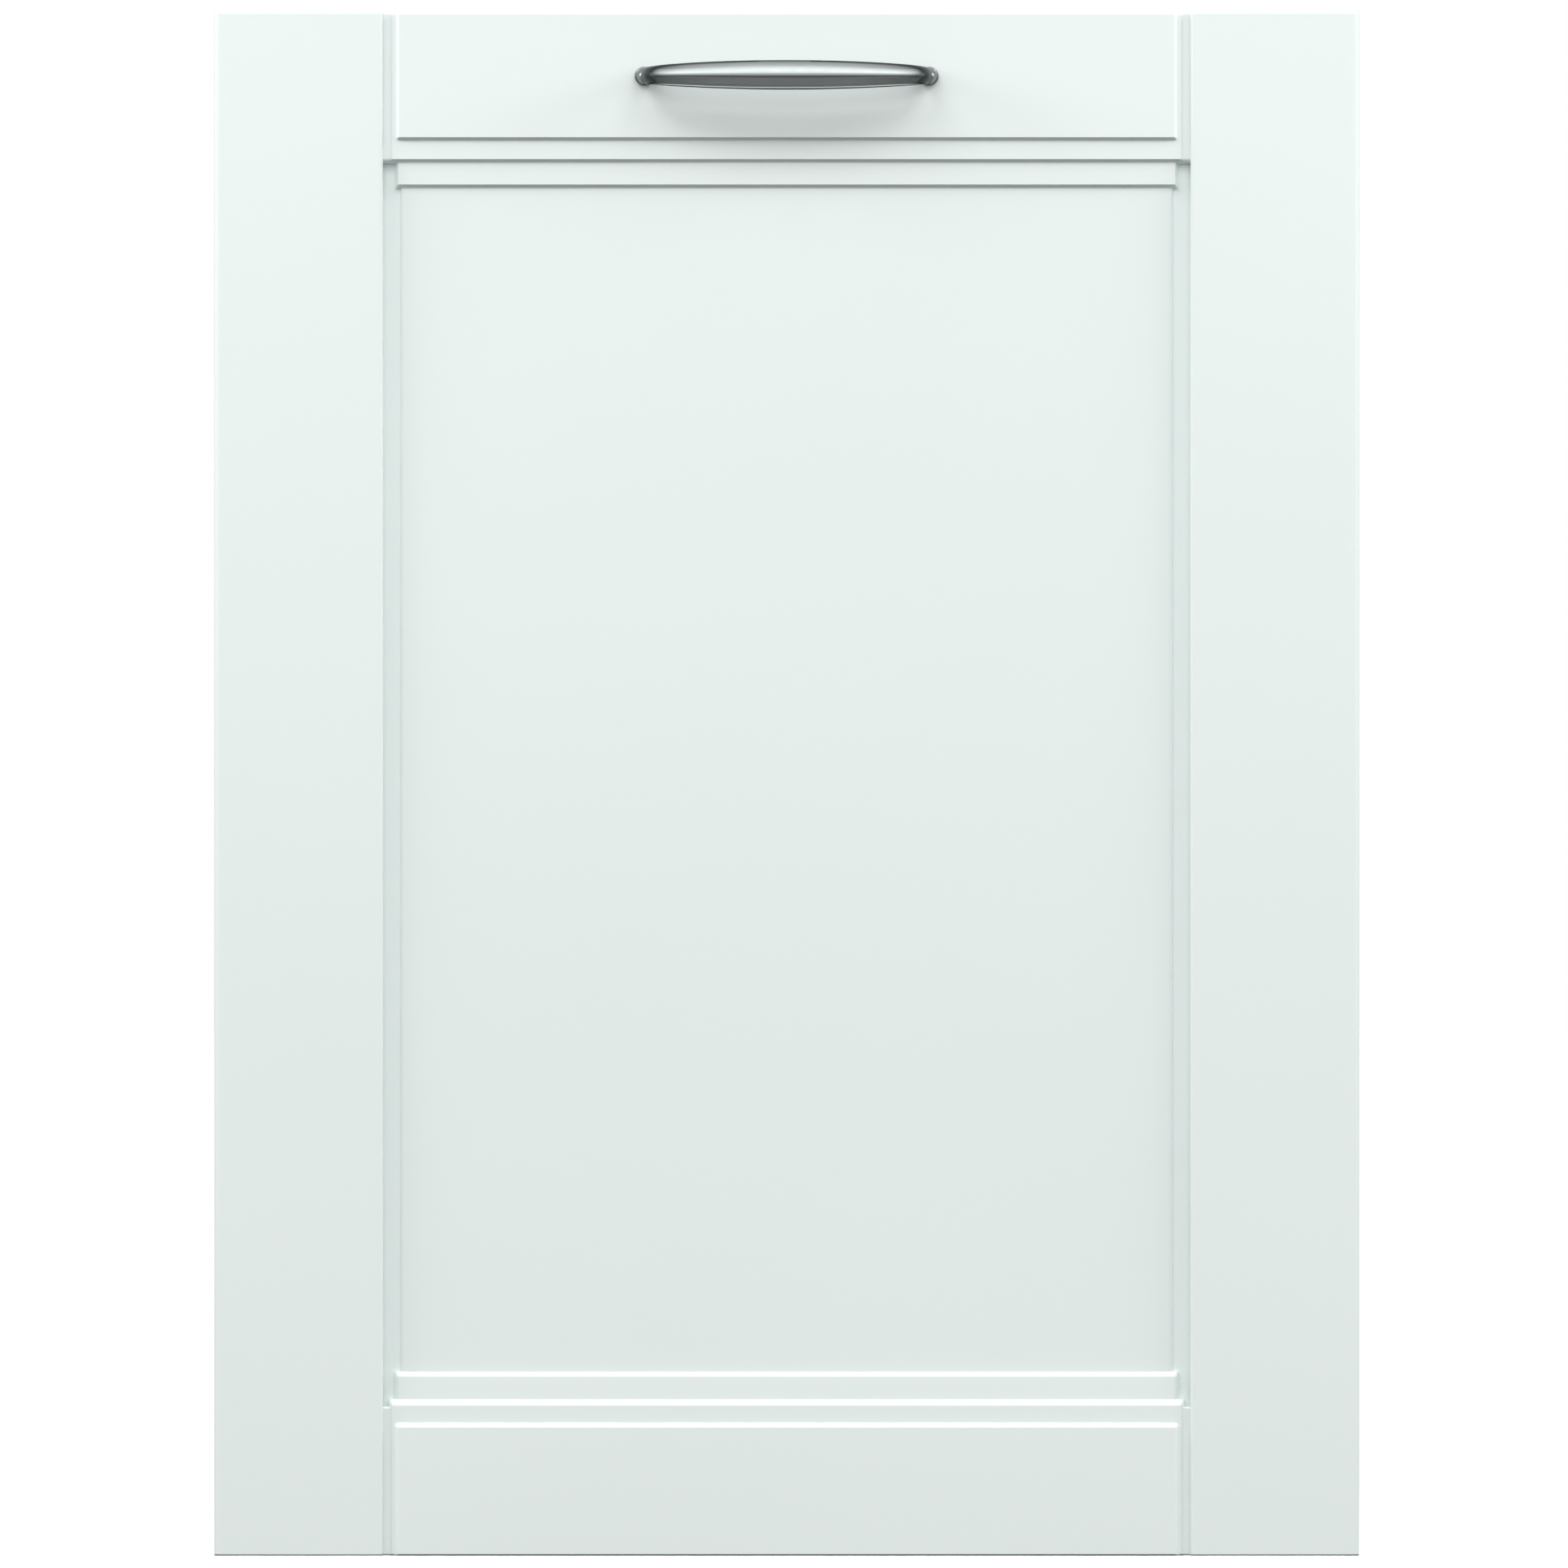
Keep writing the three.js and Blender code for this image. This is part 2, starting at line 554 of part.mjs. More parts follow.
// The socket for the mains lead, open to the back.
function mainsInlet() {
  const { x, z } = SOCKET;
  const around = ([halfX, halfZ], depth) => box([x - halfX, x + halfX], depth, [z - halfZ, z + halfZ]);
  const y = [BASE.back - 30, BASE.back + 2];
  return cut(around(SOCKET.half, y), around(SOCKET.hollow, [y[0] + 14, y[1] + 1]));
}

// The pipe starts at the lower arm's bearing, crosses the tub's floor, and rises at the back to a ceiling jet.
function feedPipe() {
  const { y, depth, half, top, run, jet, jetDepth } = RISER;
  const low = TUB.floor + FREE;
  const bearing = rod("z", ARM.hub / 2, [low, ARM.lowerZ - FREE], [0, ARM.y], 20);
  const along = box(both(half), [ARM.y, y + depth], [low, low + run]);
  const riser = box(both(half), [y, y + depth], [low, top]);
  const branch = box(both(half - 3), [ARM.y, y + 4], [top - 8, top]);
  return join(bearing, along, riser, branch, rod("z", jet, [top - jetDepth, top], [0, ARM.y], 20));
}

// A flat arm with rounded ends and a round hub, tapering outwards, lying in the X-Y plane.
function sprayArm(z, hubRise) {
  const { reach, hub: root, tip, thickness } = ARM;
  const shape = new THREE.Shape();
  shape.moveTo(-reach + tip, ARM.y - tip);
  shape.lineTo(-root, ARM.y - root * 0.8);
  shape.lineTo(root, ARM.y - root * 0.8);
  shape.lineTo(reach - tip, ARM.y - tip);
  shape.absarc(reach - tip, ARM.y, tip, -Math.PI / 2, Math.PI / 2, false);
  shape.lineTo(root, ARM.y + root * 0.8);
  shape.lineTo(-root, ARM.y + root * 0.8);
  shape.lineTo(-reach + tip, ARM.y + tip);
  shape.absarc(-reach + tip, ARM.y, tip, Math.PI / 2, (3 * Math.PI) / 2, false);
  const blade = plateZ(shape, [z, z + thickness]);
  return blade.add(rod("z", root, [z, z + thickness + hubRise], [0, ARM.y], 24));
}

// ---------------------------------------------------------------- racks
// Cuts a row-and-column grid of windows out of a sheet, leaving bars of the given width.
function windows(body, tool, [a0, a1], countA, [b0, b1], countB) {
  const stepA = (a1 - a0 - RACK.bar) / countA;
  const stepB = (b1 - b0 - RACK.bar) / countB;
  for (let i = 0; i < countA; i++)
    for (let j = 0; j < countB; j++) {
      const a = [a0 + RACK.bar + i * stepA, a0 + (i + 1) * stepA];
      const b = [b0 + RACK.bar + j * stepB, b0 + (j + 1) * stepB];
      body = body.subtract(tool(a, b));
    }
  return body;
}

// The near edge of one of a rack's cross bars, counted from the front.
const crossBar = (i) => RACK.front + (i * (RACK.back - RACK.front - RACK.bar)) / RACK.rows;

// A wire basket as a lattice of flat bars: floor, four walls and a rim.
function basket(half, floor, rim, walls) {
  const { columns, rows, sheet } = RACK;
  const y = [RACK.front, RACK.back];
  const span = [floor, rim];
  let body = tray(both(half), y, span, sheet);
  body = windows(body, (a, b) => box(a, b, [floor - 1, floor + sheet + 1]), both(half), columns, y, rows);
  body = windows(body, (a, b) => box(a, [y[0] - 1, y[1] + 1], b), both(half), columns, span, walls);
  return windows(body, (a, b) => box([-half - 1, half + 1], a, b), y, rows, span, walls);
}

function lowerRack() {
  let rack = basket(RACK.half, LOWER_RACK.floor, LOWER_RACK.rim, 1);
  for (const side of [-1, 1])
    for (const y of WHEEL.ys) {
      const x = onSide(side, [RACK.half - 4, RACK.half]);
      rack = rack.add(box(x, [y - 8, y + 8], [TUB.floor + 9, LOWER_RACK.floor + 12]));
      const axle = onSide(side, [RACK.half - 1, WHEEL.x + WHEEL.width + 0.8]);
      rack = rack.add(rod("x", WHEEL.axle, axle, [y, TUB.floor + FREE + WHEEL.r], 12));
    }
  const { x, shaft, lift, seats } = TINES;
  const z = LOWER_RACK.floor;
  for (const y of seats.map(crossBar)) {
    rack = rack.add(box([x - 8, x + 8], [y, y + RACK.bar], [z, z + lift + 6]));
    rack = cut(rack, rod("y", shaft + 0.4, [y - 1, y + RACK.bar + 1], [x, z + lift], 12));
  }
  return rack;
}

function rackWheel(side, y) {
  const x = onSide(side, [WHEEL.x, WHEEL.x + WHEEL.width]);
  const at = [y, TUB.floor + FREE + WHEEL.r];
  return cut(rod("x", WHEEL.r, x, at, 24), rod("x", WHEEL.axle + 0.4, [x[0] - 1, x[1] + 1], at, 12));
}

// A row of tines on a shaft that turns in the lower rack's two seats.
function foldingTines() {
  const { x, shaft, lift, length, count, seats } = TINES;
  const z = LOWER_RACK.floor + lift;
  const from = crossBar(seats[0]);
  const to = crossBar(seats[1]) + RACK.bar;
  const pitch = (to - from - 2 * RACK.bar) / count;
  let row = rod("y", shaft, [from - 2, to + 2], [x, z], 12);
  for (let i = 0; i < count; i++) {
    const y = from + RACK.bar + (i + 0.5) * pitch;
    row = row.add(box([x - 2, x + 2], [y - 2, y + 2], [z, z + length]));
  }
  return row;
}

function upperRack() {
  const rack = basket(RACK.half, UPPER_RACK.floor, UPPER_RACK.rim, 2);
  const plate = box(both(44), [ARM.y - 44, ARM.y + 44], [UPPER_RACK.floor, UPPER_RACK.floor + RACK.sheet]);
  const hub = rod("z", 12, [ARM.upperZ + ARM.thickness + 4 + FREE, UPPER_RACK.floor + 1], [0, ARM.y], 20);
  return join(rack, plate, hub);
}

const cutleryTray = () => basket(RACK.half - 1, TRAY.floor, TRAY.rim, 1);

function rackRail(side) {
  const { z, height, outer } = RAIL;
  const channel = box(onSide(side, [outer - 5, outer]), [-178, 238], [z, z + height]);
  return cut(channel, box(onSide(side, [outer - 6, outer - 1.5]), [-179, 239], [z + 3, z + height - 3]));
}

function telescopicRail(side) {
  const { z, height, outer, inner } = RAIL;
  const runner = box(onSide(side, [inner - 4, outer - 2]), [-176, 236], [z + 3.4, z + height - 3.4]);
  return cut(runner, box(onSide(side, [inner - 5, inner]), [-177, 237], [z - 1, z + height + 1]))
    .add(box(onSide(side, [inner - 0.5, inner + 1]), [-176, 236], [z - 3, z + height + 3]));
}

function trayRail(side) {
  const z = TRAY.floor - FREE;
  const wall = box(onSide(side, [TUB.half - 3.5, TUB.half - 0.5]), [-178, 238], [z - 4, z + 22]);
  return wall.add(box(onSide(side, [236, TUB.half - 1]), [-178, 238], [z - 4, z - 1]));
}

// ---------------------------------------------------------------- assembly
const sides = { left: -1, right: 1 };

add("furniture_panel", lacquer, furniturePanel());
add("bow_handle", satinSteel, bowHandle());
add("door_outer_skin", galvanised, doorOuterSkin());
add("door_insulation", felt, doorInsulation());
add("door_inner_liner", stainless, doorInnerLiner());
add("control_fascia", greyPlastic, controlFascia());
add("display_window", darkGlass, displayWindow());
add("door_lock", blackPlastic, doorLock());
add("dispenser_housing", greyPlastic, dispenserHousing());
add("dispenser_lid", greyPlastic, dispenserLid());
add("rinse_aid_cap", bluePlastic, rinseAidCap());
for (const [name, x] of Object.entries(BUTTONS)) add(name, satinSteel, fasciaButton(x));

add("tub", stainless, tub());
add("tub_gasket", rubber, tubGasket());
add("front_frame", galvanised, frontFrame());
add("rear_frame", galvanised, rearFrame());
add("top_cover", galvanised, topCover());
add("base_tray", blackPlastic, baseTray());
add("toe_kick_plate", whitePlastic, toeKickPlate());
add("lock_strike", galvanised, lockStrike());
add("heat_exchanger", whitePlastic, heatExchanger());

add("sump", greyPlastic, sump());
add("flat_filter", stainless, flatFilter());
add("filter_cylinder", greyPlastic, filterCylinder());
add("softener_tank", whitePlastic, softenerTank());
add("salt_cap", bluePlastic, saltCap());
add("circulation_pump", blackPlastic, circulationPump());
add("drain_pump", blackPlastic, drainPump());
add("inlet_valve", whitePlastic, inletValve());
add("mains_inlet", blackPlastic, mainsInlet());
add("feed_pipe", greyPlastic, feedPipe());
add("lower_spray_arm", greyPlastic, sprayArm(ARM.lowerZ, 3));
add("upper_spray_arm", greyPlastic, sprayArm(ARM.upperZ, 4));

add("lower_rack", coatedWire, lowerRack());
add("folding_tines", coatedWire, foldingTines());
add("upper_rack", coatedWire, upperRack());
add("cutlery_tray", coatedWire, cutleryTray());

for (const [where, side] of Object.entries(sides)) {
  add(`handle_screw_${where}`, galvanised, handleScrew(side));
  add(`hinge_arm_${where}`, galvanised, hingeArm(side));
  add(`hinge_bracket_${where}`, galvanised, hingeBracket(side));
  add(`rack_rail_${where}`, stainless, rackRail(side));
  add(`telescopic_rail_${where}`, stainless, telescopicRail(side));
  add(`tray_rail_${where}`, whitePlastic, trayRail(side));
  add(`foot_front_${where}`, blackPlastic, levellingFoot(side * FOOT.x, FOOT.yFront));
  add(`foot_rear_${where}`, blackPlastic, levellingFoot(side * FOOT.x, FOOT.yBack));
  add(`rack_wheel_front_${where}`, greyPlastic, rackWheel(side, WHEEL.ys[0]));
  add(`rack_wheel_rear_${where}`, greyPlastic, rackWheel(side, WHEEL.ys[1]));
}

export default group;
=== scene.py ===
"""Looks of a built-in dishwasher with a furniture front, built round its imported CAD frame. Metres, +Z up."""

import json
import math

import bmesh
import bpy
from mathutils import Matrix, Vector


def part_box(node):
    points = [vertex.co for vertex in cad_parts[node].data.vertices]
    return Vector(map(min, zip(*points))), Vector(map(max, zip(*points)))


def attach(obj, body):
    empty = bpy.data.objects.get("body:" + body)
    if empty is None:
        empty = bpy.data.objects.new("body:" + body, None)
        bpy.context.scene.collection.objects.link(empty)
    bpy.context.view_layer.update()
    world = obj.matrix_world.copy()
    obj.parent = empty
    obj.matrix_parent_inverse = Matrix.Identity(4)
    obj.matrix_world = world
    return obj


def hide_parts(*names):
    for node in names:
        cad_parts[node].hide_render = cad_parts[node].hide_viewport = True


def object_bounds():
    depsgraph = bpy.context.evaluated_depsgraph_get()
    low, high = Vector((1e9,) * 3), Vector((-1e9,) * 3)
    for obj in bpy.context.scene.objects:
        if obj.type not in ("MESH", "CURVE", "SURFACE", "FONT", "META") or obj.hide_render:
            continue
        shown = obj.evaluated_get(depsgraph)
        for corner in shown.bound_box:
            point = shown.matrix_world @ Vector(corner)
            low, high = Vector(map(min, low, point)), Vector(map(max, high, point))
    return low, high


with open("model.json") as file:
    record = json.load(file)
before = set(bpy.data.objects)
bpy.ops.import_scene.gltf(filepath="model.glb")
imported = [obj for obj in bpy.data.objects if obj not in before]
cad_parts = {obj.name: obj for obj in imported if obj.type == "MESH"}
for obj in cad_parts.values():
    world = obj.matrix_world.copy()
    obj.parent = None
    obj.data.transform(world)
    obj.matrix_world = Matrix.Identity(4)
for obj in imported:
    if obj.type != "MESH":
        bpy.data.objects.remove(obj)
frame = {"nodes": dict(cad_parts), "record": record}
cad_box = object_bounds()

MM = 0.001
TINY = 1e-9
SIDES = {"left": -1, "right": 1}
ARM_Y = 32 * MM  # both spray arms turn about this line
RACK_HALF = 245 * MM  # the widest that a rack may be, on each side of the middle


def bounds_of(node):
    """A CAD node's box as (x0, x1, y0, y1, z0, z1)."""
    lo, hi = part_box(node)
    return lo.x, hi.x, lo.y, hi.y, lo.z, hi.z


def scaled(pairs):
    """Pairs in millimetres as metres."""
    return [(a * MM, b * MM) for a, b in pairs]


# ---------- materials
def linear(red, green, blue):
    """An 8-bit sRGB colour as linear RGBA."""
    def channel(value):
        value /= 255
        return value / 12.92 if value <= 0.04045 else ((value + 0.055) / 1.055) ** 2.4
    return channel(red), channel(green), channel(blue), 1.0


class Graph:
    """Short names for building a node tree."""

    def __init__(self, tree):
        self.tree = tree

    def node(self, kind, **settings):
        made = self.tree.nodes.new(kind)
        for key, value in settings.items():
            setattr(made, key, value)
        return made

    def link(self, source, target):
        self.tree.links.new(source, target)

    def ranged(self, value, low, high, start=0.3, end=0.7):
        """Runs from low to high while the value goes from start to end."""
        made = self.node("ShaderNodeMapRange")
        made.inputs["From Min"].default_value = start
        made.inputs["From Max"].default_value = end
        made.inputs["To Min"].default_value = low
        made.inputs["To Max"].default_value = high
        self.link(value, made.inputs["Value"])
        return made.outputs["Result"]


class Surface(Graph):
    """A procedural material: colour, roughness and bump each come from noise in the object's own space."""

    def __init__(self, name, roughness, metallic=0.0, stretch=(1, 1, 1)):
        self.material = bpy.data.materials.new(name)
        self.material.use_nodes = True
        super().__init__(self.material.node_tree)
        self.shader = self.tree.nodes["Principled BSDF"]
        self.shader.inputs["Metallic"].default_value = metallic
        self.shader.inputs["Roughness"].default_value = roughness
        self.roughness = roughness
        place = self.node("ShaderNodeTexCoord")
        mapped = self.node("ShaderNodeMapping")
        mapped.inputs["Scale"].default_value = stretch
        self.link(place.outputs["Object"], mapped.inputs["Vector"])
        self.place = mapped.outputs["Vector"]

    def noise(self, scale, detail=3.0, roughness=0.5):
        made = self.node("ShaderNodeTexNoise")
        made.inputs["Scale"].default_value = scale
        made.inputs["Detail"].default_value = detail
        made.inputs["Roughness"].default_value = roughness
        self.link(self.place, made.inputs["Vector"])
        return made.outputs["Fac"]

    def cells(self, scale, output="Distance"):
        made = self.node("ShaderNodeTexVoronoi")
        made.inputs["Scale"].default_value = scale
        self.link(self.place, made.inputs["Vector"])
        return made.outputs[output]

    def colour(self, first, second, factor):
        """The colour runs from first to second as factor goes from 0 to 1."""
        made = self.node("ShaderNodeMix", data_type="RGBA")
        made.inputs["A"].default_value = first
        made.inputs["B"].default_value = second
        self.link(factor, made.inputs["Factor"])
        self.link(made.outputs["Result"], self.shader.inputs["Base Color"])
        return self

    def rough(self, factor, spread):
        self.link(self.ranged(factor, self.roughness - spread, self.roughness + spread),
                  self.shader.inputs["Roughness"])
        return self

    def bump(self, height, distance, strength=1.0):
        made = self.node("ShaderNodeBump")
        made.inputs["Distance"].default_value = distance
        made.inputs["Strength"].default_value = strength
        self.link(height, made.inputs["Height"])
        previous = self.shader.inputs["Normal"].links
        if previous:
            self.link(previous[0].from_socket, made.inputs["Normal"])
        self.link(made.outputs["Normal"], self.shader.inputs["Normal"])
        return self

    def textured(self, first, second, tint, rough, bump):
        """Tint, roughness and bump, each from its own noise: scale, detail, then how much of it there is."""
        self.colour(first, second, self.ranged(self.noise(*tint), 0, 1))
        self.rough(self.noise(*rough[:2]), rough[2])
        if bump:
            self.bump(self.noise(*bump[:2]), *bump[2:])
        return self

    def set(self, **inputs):
        for key, value in inputs.items():
            self.shader.inputs[key.replace("_", " ")].default_value = value
        return self


def shade(colour, factor):
    return tuple(channel * factor for channel in colour[:3]) + (1.0,)


def lacquer():
    """Satin lacquer: a faint orange peel, and a tint that hardly changes over the board."""
    made = Surface("satin_lacquer", 0.36)
    white = linear(232, 240, 238)
    made.textured(shade(white, 0.985), white, (3, 3), (14, 3, 0.025), (420, 2, 0.02 * MM, 0.5))
    return made.set(Coat_Weight=0.15, Coat_Roughness=0.3).material


def satin_steel():
    """Blasted stainless with shade painted into its colour: bright steel where it faces the front, painted
    dark where the surface turns away from the front, towards the board.
    """
    made = Surface("satin_steel", 0.30, 1.0)
    unevenness = 0.06
    facing = made.node("ShaderNodeTexCoord")
    split = made.node("ShaderNodeSeparateXYZ")
    made.link(facing.outputs["Normal"], split.inputs["Vector"])
    turned = made.node("ShaderNodeMath", operation="MULTIPLY_ADD")
    made.link(made.noise(25.0, 4.0), turned.inputs[0])
    turned.inputs[1].default_value = unevenness
    made.link(split.outputs["Y"], turned.inputs[2])
    # Painted shade: away rises to 1 as the normal turns from the front, a little unevenly at its edge, and
    # takes the colour from bright steel to a dark grey.
    away = made.ranged(turned.outputs["Value"], 0, 1, -0.87, -0.58)
    made.colour(linear(196, 203, 203), linear(52, 58, 59), away)
    made.rough(made.noise(200.0, 2.0), 0.02)
    made.bump(made.noise(1500.0, 2.0), 0.002 * MM, 0.2)
    return made.material


def rolled_steel():
    """Bright rolled stainless sheet with a fine grain along one direction."""
    made = Surface("rolled_steel", 0.24, 1.0, stretch=(1, 0.06, 1))
    base = linear(222, 224, 225)
    return made.textured(shade(base, 0.9), base, (90, 5), (500, 3, 0.06), (1800, 3, 0.02 * MM, 0.35)).material


def perforated_steel():
    """Stainless sheet whose rows of fine round holes are only painted: near-black where each hole is, as
    painted shade seen through it, with a bump at its rim.
    """
    made = Surface("perforated_steel", 0.3, 1.0)
    holes = made.node("ShaderNodeTexVoronoi", feature="F1", distance="EUCLIDEAN")
    holes.inputs["Scale"].default_value = 360.0
    holes.inputs["Randomness"].default_value = 0.0
    made.link(made.place, holes.inputs["Vector"])
    # Painted shade: the holes are near-black colour on the sheet, not openings.
    rim = made.ranged(holes.outputs["Distance"], 0, 1, 0.26, 0.34)
    made.colour(linear(18, 18, 18), linear(190, 192, 193), rim)
    made.bump(rim, 0.4 * MM, 0.8)
    return made.material


def zinc_steel():
    """Galvanised sheet with its spangle."""
    made = Surface("zinc_steel", 0.42, 0.9)
    base = linear(190, 195, 198)
    made.colour(shade(base, 0.82), base, made.cells(140.0, output="Color"))
    made.rough(made.noise(80.0, 4.0), 0.08)
    made.bump(made.noise(700.0, 3.0), 0.03 * MM, 0.4)
    return made.material


def plastic(name, colour, roughness, grain=900.0, depth=0.04 * MM, **inputs):
    """Moulded plastic with an eroded texture and faint flow marks."""
    made = Surface(name, roughness)
    made.textured(shade(colour, 0.93), colour, (22, 4), (150, 3, 0.05), (grain, 3, depth, 0.5))
    return made.set(**inputs).material


def felt():
    """Pressed recycled fibre with lighter and darker threads."""
    made = Surface("damping_felt", 0.95)
    fibres = made.noise(420.0, 8.0, 0.75)
    made.colour(linear(58, 58, 60), linear(118, 117, 114), made.ranged(fibres, 0, 1, 0.35, 0.65))
    made.bump(fibres, 1.2 * MM, 0.9)
    return made.set(Sheen_Weight=0.3, Sheen_Roughness=0.6).material


def bitumen():
    """Black damping sheet, embossed with small cells."""
    made = Surface("damping_bitumen", 0.62)
    made.colour(linear(24, 24, 25), linear(44, 44, 45), made.ranged(made.noise(30.0, 5.0), 0, 1))
    made.rough(made.noise(60.0), 0.08)
    made.bump(made.cells(150.0), 0.5 * MM, 0.6)
    return made.material


def rubber():
    made = Surface("seal_rubber", 0.7)
    return made.textured(linear(40, 41, 42), linear(58, 59, 60), (45, 4), (200, 3, 0.06),
                         (700, 3, 0.06 * MM, 0.5)).material


def smoked_glass():
    made = Surface("smoked_glass", 0.07)
    made.textured(linear(10, 12, 14), linear(16, 19, 22), (9, 3), (60, 3, 0.02), None)
    return made.set(Specular_IOR_Level=0.6, Coat_Weight=0.5, Coat_Roughness=0.03).material


MATERIALS = {
    "panel_lacquer": lacquer(),
    "handle_steel": satin_steel(),
    "tub_steel": rolled_steel(),
    "zinc_steel": zinc_steel(),
    "wire": plastic("coated_wire", linear(196, 201, 204), 0.34, 500.0, 0.05 * MM, Coat_Weight=0.2),
    "grey_plastic": plastic("grey_plastic", linear(146, 150, 154), 0.42),
    "white_plastic": plastic("white_plastic", linear(238, 240, 238), 0.45),
    "black_plastic": plastic("black_plastic", linear(40, 42, 44), 0.48),
    "blue_plastic": plastic("blue_plastic", linear(52, 98, 152), 0.3, 700.0, 0.02 * MM, Coat_Weight=0.3),
    "dark_glass": smoked_glass(),
    "seal_rubber": rubber(),
    "damping_felt": felt(),
}
BITUMEN = bitumen()
PERFORATED = perforated_steel()
TRANSLUCENT = plastic("clear_moulding", linear(222, 228, 226), 0.32, 300.0, 0.08 * MM,
                      Subsurface_Weight=0.15, Coat_Weight=0.15)


# ---------- mesh building
class Form:
    """Vertices and faces gathered from simple parts, then made into one piece."""

    def __init__(self):
        self.points = []
        self.faces = []

    def rings(self, rings, closed=False):
        """Joins equal rings of points with quads, and caps both ends or joins the last ring to the first."""
        base = len(self.points)
        count = len(rings[0])
        for ring in rings:
            self.points.extend(Vector(point) for point in ring)
        spans = len(rings) if closed else len(rings) - 1
        for i in range(spans):
            first = base + i * count
            second = base + ((i + 1) % len(rings)) * count
            for k in range(count):
                after = (k + 1) % count
                self.faces.append((first + k, first + after, second + after, second + k))
        if not closed:
            self.faces.append(tuple(base + k for k in reversed(range(count))))
            self.faces.append(tuple(base + (len(rings) - 1) * count + k for k in range(count)))
        return self

    def tube(self, path, radius, sides=8, closed=False, flat=1.0, up=None):
        """A round wire, or a flattened one, along a path of points."""
        path = [Vector(point) for point in path]
        frames = directions(path, closed, up)
        rings = []
        for point, (side, normal) in zip(path, frames):
            rings.append([point + side * (radius * c) + normal * (radius * flat * s)
                          for c, s in circle(sides, 0.5)])
        return self.rings(rings, closed=closed)

    def turned(self, profile, centre, axis="z", segments=40):
        """A solid of revolution from a profile of (radius, height) points.

        Its ends lie on the axis, or it is a closed outline if neither end does.
        """
        turn = {"z": Matrix.Identity(3), "x": Matrix.Rotation(math.pi / 2, 3, "Y"),
                "y": Matrix.Rotation(-math.pi / 2, 3, "X"), "-y": Matrix.Rotation(math.pi / 2, 3, "X")}[axis]
        centre = Vector(centre)
        on_axis = profile[0][0] < TINY and profile[-1][0] < TINY
        rings = [[centre + turn @ Vector((radius * c, radius * s, height)) for c, s in circle(segments)]
                 for radius, height in (profile[1:-1] if on_axis else profile)]
        return self.rings(rings, closed=not on_axis)

    def box(self, lo, hi, round_by=0.0, steps=3):
        """A box whose upright edges, along Z, are rounded."""
        outline = rounded_rectangle(lo[0], hi[0], lo[1], hi[1], round_by, steps)
        rings = [[(x, y, z) for x, y in outline] for z in (lo[2], hi[2])]
        return self.rings(rings)

    def plain(self, name):
        """A closed mesh, its doubled vertices welded and every face turned outwards."""
        mesh = bpy.data.meshes.new(name)
        mesh.from_pydata([tuple(point) for point in self.points], [], self.faces)
        mesh.validate()
        form = bmesh.new()
        form.from_mesh(mesh)
        bmesh.ops.remove_doubles(form, verts=form.verts, dist=0.001 * MM)
        bmesh.ops.recalc_face_normals(form, faces=form.faces)
        form.to_mesh(mesh)
        form.free()
        piece = bpy.data.objects.new(name, mesh)
        bpy.context.scene.collection.objects.link(piece)
        return piece

    def make(self, name, body, slot, material=None, replaces=(), crease=35.0, weighted=False):
        """A piece of the machine that rides on a body."""
        piece = self.plain(name)
        mesh = piece.data
        mesh.materials.append(material or MATERIALS[slot])
        mesh.shade_smooth()
        mesh.set_sharp_from_angle(angle=math.radians(crease))
        if weighted:
            piece.modifiers.new("normals", "WEIGHTED_NORMAL").keep_sharp = True
        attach(piece, body)
        if replaces:
            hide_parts(*replaces)
        return piece


def circle(count, start=0.0):
    """Cosine and sine of equally spaced angles, the first of them start steps from zero."""
    angles = [2 * math.pi * (k + start) / count for k in range(count)]
    return [(math.cos(angle), math.sin(angle)) for angle in angles]


def directions(path, closed, up):
    """Two unit vectors across the path at each point, turning as little as possible along it."""
    count = len(path)
    tangents = []
    for i, point in enumerate(path):
        before = path[i - 1] if i or closed else point
        after = path[(i + 1) % count] if i < count - 1 or closed else point
        tangents.append((after - before).normalized())
    start = Vector(up) if up else (Vector((0, 0, 1)) if abs(tangents[0].z) < 0.9 else Vector((1, 0, 0)))
    result = []
    normal = start
    for tangent in tangents:
        normal = (normal - tangent * normal.dot(tangent)).normalized()
        result.append((tangent.cross(normal).normalized(), normal))
    return result


def rounded_rectangle(x0, x1, y0, y1, radius, steps=6):
    """The outline of a rectangle with round corners, anticlockwise from the bottom right corner."""
    if radius <= 0:
        return [(x1, y0), (x1, y1), (x0, y1), (x0, y0)]
    corners = ((x1 - radius, y0 + radius, -90), (x1 - radius, y1 - radius, 0),
               (x0 + radius, y1 - radius, 90), (x0 + radius, y0 + radius, 180))
    points = []
    for cx, cy, start in corners:
        for i in range(steps + 1):
            angle = math.radians(start + 90 * i / steps)
            points.append((cx + radius * math.cos(angle), cy + radius * math.sin(angle)))
    return points


def bent(corners, radius, steps=4):
    """A path through the corners with each inner corner rounded."""
    corners = [Vector(corner) for corner in corners]
    path = [corners[0]]
    for before, corner, after in zip(corners, corners[1:], corners[2:]):
        into = (before - corner).normalized()
        out = (after - corner).normalized()
        reach = min(radius, (before - corner).length / 2, (after - corner).length / 2)
        for i in range(steps + 1):
            t = i / steps
            path.append(corner + into * (reach * (1 - t) ** 2) + out * (reach * t ** 2))
    path.append(corners[-1])
    return path


# ---------- relief boards
ARRIS_ANGLES = (18, 36, 54, 72, 90)
STEEPER = 1.25  # how a sloped edge falls: a straight ramp would be 1
WALL = 0.02 * MM  # the run of an upright wall between two grid lines
SAME_PLACE = 0.004 * MM  # grid lines closer than this are one line


